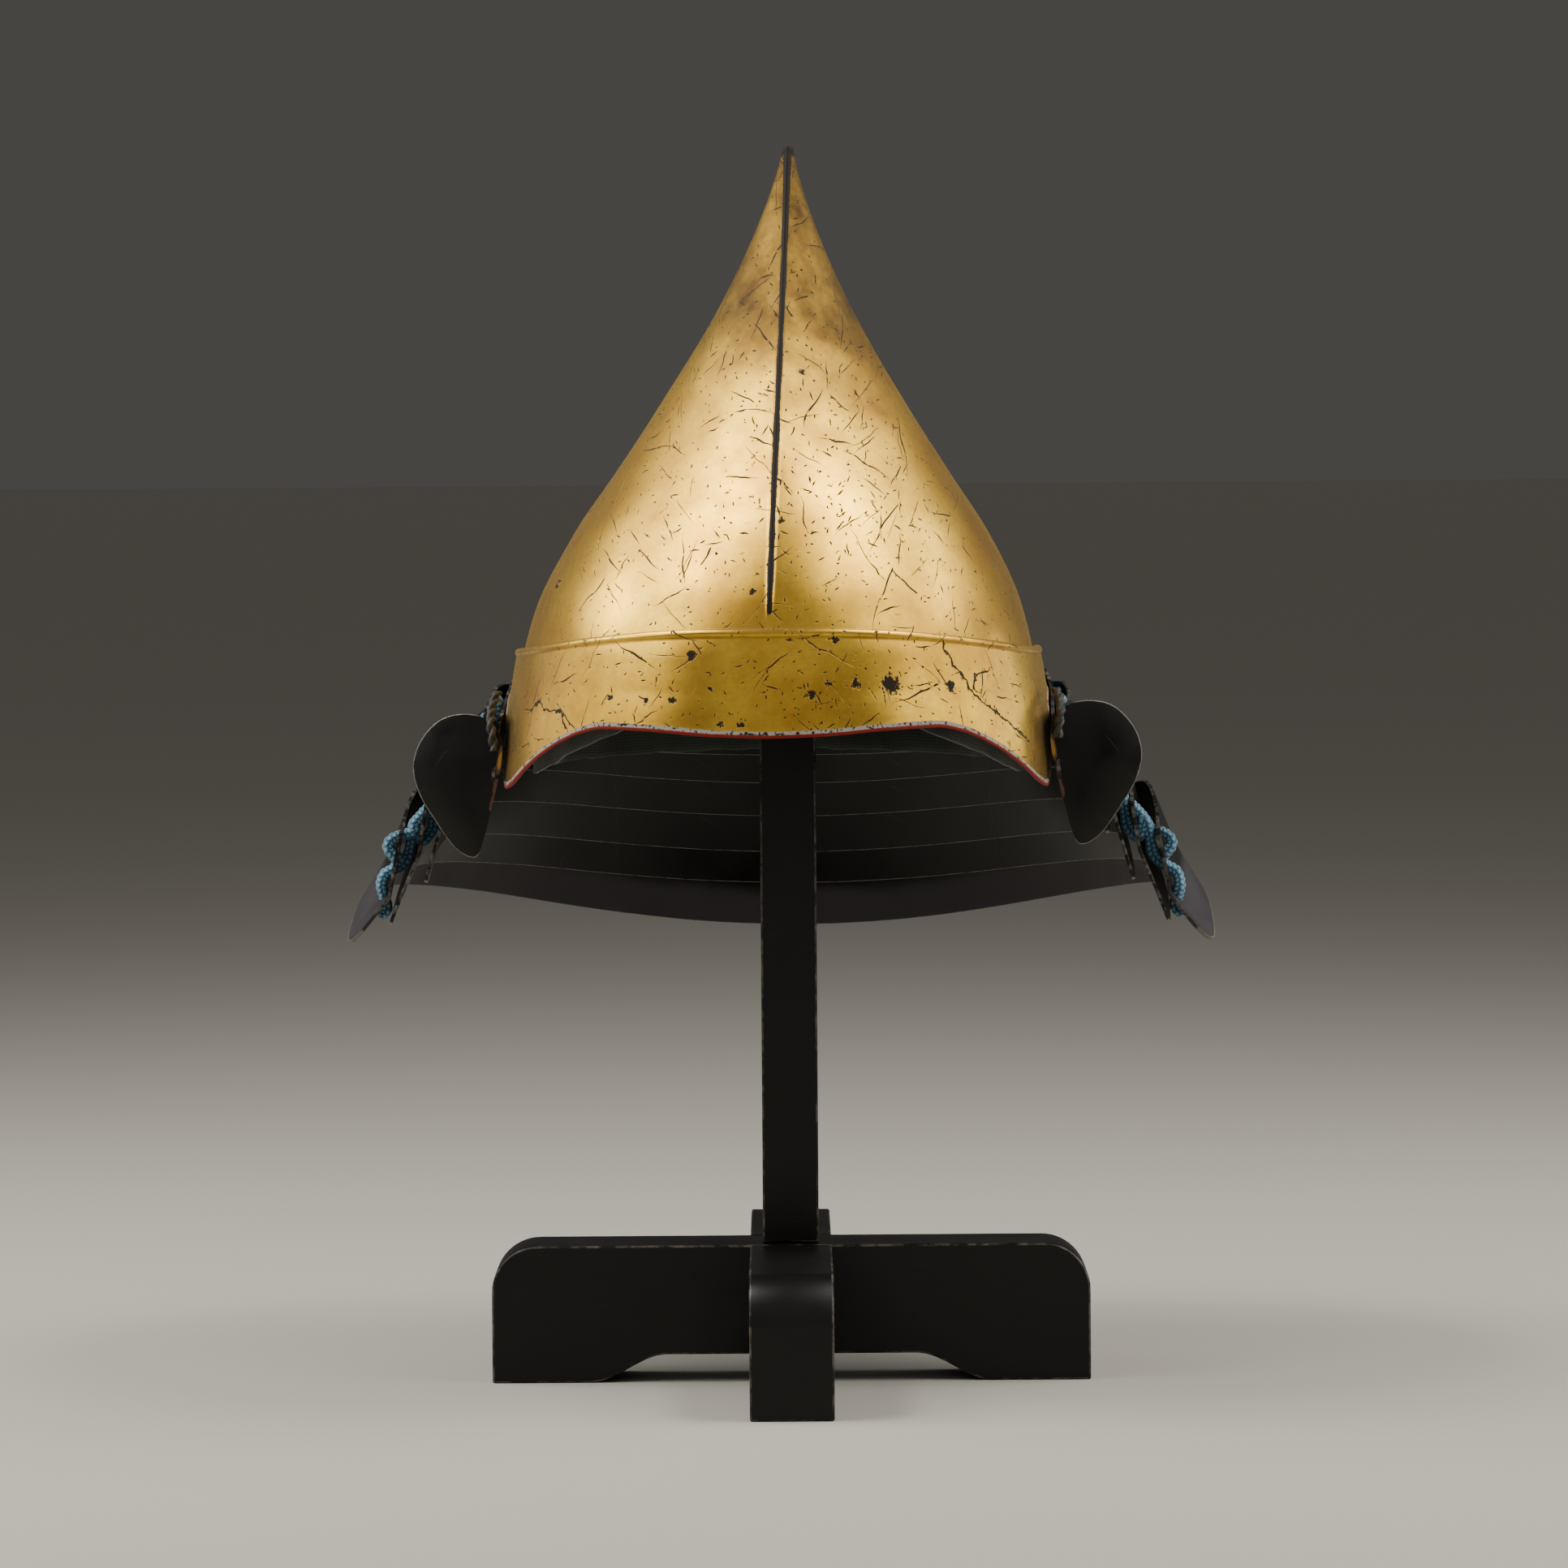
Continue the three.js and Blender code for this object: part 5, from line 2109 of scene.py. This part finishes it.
LAMES = (
    Lame("top_lame", 117.4, 120.4, 130.5, 144, 262, 269, 258, 38, 29, 39.5,
         bend_front=0.35),
    Lame("second_lame", 124.5, 131, 144, 155, 248.6, 260, 250, 38, 40, 20),
    Lame("third_lame", 132.5, 141, 154, 166, 233, 246, 235, 41, 42, 20),
    Lame("fourth_lame", 141, 151.5, 164, 177, 216, 231.5, 215, 44, 46, 20, bend_front=0.27),
    Lame("fifth_lame", 151, 166.5, 175, 190, 201, 219, 197, 45, 52, 20, bend_front=0.2),
    Lame("bottom_lame", 162, 186, 187, 207, 180.5, 209, 188, 44, 49, 20, bend_at=0.58,
         bend_side=0.5, bend_front=0.22, corner=13.0, turn_in=3.0, painted_lit_grey=True),
)


# ---- The stand ----


@dataclass
class Stand:
    """A square post on two boards halved into each other, all in black lacquered wood."""

    post_side: float = 24.0
    post_top: float = 394.0
    length: float = 257.0
    height: float = 59.0
    thick: float = 35.0
    corner: float = 20.0
    arch_rise: float = 12.0
    arch_flat: float = 54.0
    arch_foot: float = 86.0
    gap: float = 0.3
    arris: float = 0.9
    strip_area: float = 2e-4

    def extruded(
        self, outline: Sequence[tuple[float, float]], along: Vector, rounds: Sequence[int],
        name: str, finishes: Finishes, node: str,
    ) -> bpy.types.Object:
        """Make a board from its outline.

        Args:
            outline: The outline, across and up, in order.
            along: Half of the board's thickness, as a way.
            rounds: Which of the outline's corners are rounded.
            name: The piece's name.
            finishes: The part's finishes.
            node: The CAD node that it stands for.

        Returns:
            The board.
        """
        across = Vector((along.y, -along.x, 0)).normalized()
        bm = bmesh.new()
        corners = [bm.verts.new((across * x + Vector((0, 0, z)) - along) * MM) for x, z in outline]
        face = bm.faces.new(corners)
        grown = bmesh.ops.extrude_face_region(bm, geom=[face])
        moved = [item for item in grown["geom"] if isinstance(item, bmesh.types.BMVert)]
        bmesh.ops.translate(bm, verts=moved, vec=along * 2 * MM)
        bmesh.ops.recalc_face_normals(bm, faces=bm.faces[:])
        bm.edges.ensure_lookup_table()
        through = along.normalized()
        upright = [
            edge for edge in bm.edges
            if abs((edge.verts[0].co - edge.verts[1].co).normalized().dot(through)) > 0.99
            and any((edge.verts[0].co - corners[i].co).cross(along).length < 1e-6 for i in rounds)
        ]
        bmesh.ops.bevel(bm, geom=upright, offset=self.corner * MM, affect="EDGES", segments=14,
                        profile=0.5, material=-1)
        return self.eased(bm, name, finishes, node)

    def eased(
        self, bm: bmesh.types.BMesh, name: str, finishes: Finishes, node: str
    ) -> bpy.types.Object:
        """Ease every arris of a solid, mark it as rubbed, and chart the faces.

        Args:
            bm: The solid, in place.
            name: The piece's name.
            finishes: The part's finishes.
            node: The CAD node that it stands for.

        Returns:
            The piece.
        """
        sharp = [edge for edge in bm.edges if edge.calc_face_angle(0.0) > math.radians(40)]
        eased = bmesh.ops.bevel(bm, geom=sharp, offset=self.arris * MM, affect="EDGES", segments=2,
                                profile=0.5, material=-1)
        edge = bm.loops.layers.float.new("edge")
        charted = bm.loops.layers.uv.new("Surface")
        for face in eased["faces"]:
            for loop in face.loops:
                loop[edge] = 1.0
        rounded = set(eased["faces"])
        for face in bm.faces:
            face.smooth = face in rounded or face.calc_area() < self.strip_area
            flat = max(range(3), key=lambda axis: abs(face.normal[axis]))
            for loop in face.loops:
                x, y, z = loop.vert.co
                loop[charted].uv = {0: (y, z), 1: (x, z), 2: (x, y)}[flat]
        return make_piece(name, bm, [finishes.stand], Slot.STAND, [node])

    def build(self, finishes: Finishes) -> None:
        """Make the post and both boards.

        Args:
            finishes: The part's finishes.
        """
        half, slot = self.length / 2, self.thick / 2 + self.gap
        flat, foot, rise = self.arch_flat, self.arch_foot, self.arch_rise
        curve = [(lerp(foot, flat, i / 8), rise * smooth(i / 8, 0, 1)) for i in range(9)]
        upper, lower = ((self.height + side * self.gap) / 2 for side in (1, -1))
        crosswise = [(-half, 0), *[(-x, z) for x, z in curve], (-slot, rise), (-slot, upper),
                     (slot, upper), (slot, rise), *reversed(curve), (half, 0),
                     (half, self.height), (-half, self.height)]
        self.extruded(crosswise, Vector((0, self.thick / 2, 0)),
                      [len(crosswise) - 2, len(crosswise) - 1], "crosswise_plank", finishes,
                      "crosswise_board")
        lengthwise = [(-half, 0), (half, 0), (half, self.height), (slot, self.height),
                      (slot, lower), (-slot, lower), (-slot, self.height), (-half, self.height)]
        self.extruded(lengthwise, Vector((self.thick / 2, 0, 0)), [2, 7], "lengthwise_plank",
                      finishes, "front_to_back_board")
        bm = bmesh.new()
        low = self.height + self.gap
        size = Vector((self.post_side, self.post_side, self.post_top - low)) * MM
        middle = Vector((0, 0, (low + self.post_top) / 2)) * MM
        bmesh.ops.create_cube(bm, size=1.0)
        bmesh.ops.scale(bm, verts=bm.verts[:], vec=size)
        bmesh.ops.translate(bm, verts=bm.verts[:], vec=middle)
        self.eased(bm, "square_post", finishes, "post")


# ---- The studio ----


@dataclass
class SoftBox:
    """A soft rectangular light, in metres, aimed at a point."""

    name: str
    at: tuple[float, float, float]
    wide: float
    tall: float
    power: float
    aim: tuple[float, float, float] = (0.0, 0.0, 0.37)
    along: tuple[float, float, float] = (1.0, 0.0, 0.0)
    tint: str = "#fffdf6"

    def facing(self) -> Matrix:
        """Find its axes: its wide side runs along, and its face looks at the aim.

        Returns:
            The axes, as a turn.
        """
        away = (Vector(self.at) - Vector(self.aim)).normalized()
        tall = away.cross(Vector(self.along)).normalized()
        wide = tall.cross(away)
        return Matrix((wide, tall, away)).transposed().to_4x4()

    def build(self) -> None:
        """Make the light."""
        light = bpy.data.lights.new(self.name, "AREA")
        light.shape = "RECTANGLE"
        light.size, light.size_y = self.wide, self.tall
        light.energy = self.power
        light.color = linear(self.tint)[:3]
        lamp = bpy.data.objects.new(self.name, light)
        lamp.matrix_world = Matrix.Translation(self.at) @ self.facing()
        bpy.context.scene.collection.objects.link(lamp)


@dataclass
class Studio:
    """A plain pale floor, plain soft light, and the camera."""

    floor_size: float = 600.0
    floor_colour: str = "#aba79f"
    sky: str = "#c9c6c0"
    sky_strength: float = 0.28
    horizon_strength: float = 0.12
    haze_band: tuple[float, float] = (0.12, 0.6)
    camera_height: float = 0.388
    camera_back: float = 2.6
    camera_right: float = -0.0016
    pitch: float = 2.907
    roll: float = 0.4
    lens: float = 139.0
    lights: tuple[SoftBox, ...] = (
        SoftBox("left_bank", (-0.98, -0.15, 1.17), 1.5, 1.1, 18.5, along=(0.2, 1, 0)),
        SoftBox("right_bank", (0.98, -0.15, 1.17), 1.5, 1.1, 15.0, along=(0.2, -1, 0)),
        SoftBox("left_top", (-0.73, -0.15, 1.43), 0.5, 0.3, 9.5, along=(-0.2, 1, 0)),
        SoftBox("right_top", (0.73, -0.15, 1.43), 0.5, 0.3, 7.5, along=(0.2, 1, 0)),
        SoftBox("left_back", (-1.1, 0.19, 1.04), 0.34, 0.26, 3.0, along=(0.2, 1, 0)),
        SoftBox("right_back", (1.1, 0.19, 1.04), 0.34, 0.26, 1.6, along=(0.2, -1, 0)),
        SoftBox("left_fill", (-1.3, 0.05, 0.43), 1.6, 0.45, 3.5, along=(0.0, 1, 0)),
        SoftBox("right_fill", (1.3, 0.05, 0.43), 1.6, 0.45, 5.5, along=(0.0, -1, 0)),
        SoftBox("front_fill", (0.0, -2.9, 1.25), 3.0, 2.0, 7.0),
    )

    def build(self) -> None:
        """Make the floor, the sky, the lights and the camera."""
        self.build_floor()
        self.build_sky()
        for light in self.lights:
            light.build()
        self.build_camera()

    def build_floor(self) -> None:
        """Make the floor, which is stage and not part of the object."""
        bm = bmesh.new()
        bmesh.ops.create_grid(bm, x_segments=1, y_segments=1, size=self.floor_size / 2)
        mesh = bpy.data.meshes.new("floor")
        bm.to_mesh(mesh)
        bm.free()
        floor = bpy.data.objects.new("floor", mesh)
        bpy.context.scene.collection.objects.link(floor)
        recipe = Recipe("pale paper")
        mesh.materials.append(recipe.finish(Base_Color=linear(self.floor_colour), Roughness=0.9))

    def build_sky(self) -> None:
        """Make the sky, as dim as the far floor at the horizon, and brighter overhead."""
        world = bpy.data.worlds.new("sky")
        world.use_nodes = True
        nodes, links = world.node_tree.nodes, world.node_tree.links
        background = nodes["Background"]
        background.inputs["Color"].default_value = linear(self.sky)
        way = nodes.new("ShaderNodeTexCoord")
        parts = nodes.new("ShaderNodeSeparateXYZ")
        rise = nodes.new("ShaderNodeMapRange")
        levels = (*self.haze_band, self.horizon_strength, self.sky_strength)
        for index, value in enumerate(levels, start=1):
            rise.inputs[index].default_value = value
        links.new(way.outputs["Generated"], parts.inputs[0])
        links.new(parts.outputs[2], rise.inputs[0])
        links.new(rise.outputs[0], background.inputs["Strength"])
        bpy.context.scene.world = world

    def build_camera(self) -> None:
        """Make the camera, level across but for a slight roll, and looking slightly down."""
        lens = bpy.data.cameras.new("camera")
        lens.sensor_width = 36.0
        lens.lens = self.lens
        lens.clip_end = 1000.0
        camera = bpy.data.objects.new("camera", lens)
        camera.matrix_world = (
            Matrix.Translation((self.camera_right, -self.camera_back, self.camera_height))
            @ Matrix.Rotation(math.radians(90 - self.pitch), 4, "X")
            @ Matrix.Rotation(math.radians(-self.roll), 4, "Z")
        )
        bpy.context.scene.collection.objects.link(camera)
        bpy.context.scene.camera = camera


def main() -> None:
    """Build the studio, then the helmet and its stand."""
    logging.basicConfig(level=logging.INFO, format="%(name)s: %(message)s")
    Studio().build()
    finishes = Finishes.made()
    bowl = Bowl()
    bowl.build(finishes)
    BrowPlate(bowl).build(finishes)
    Lining().build(finishes)
    for lame in LAMES:
        lame.build(finishes)
    for side in Side:
        TurnBack(side).build(finishes)
        Tie(side).build(finishes)
    Lacing(LAMES).build(finishes)
    Stand().build(finishes)


if __name__ == "__main__":
    main()
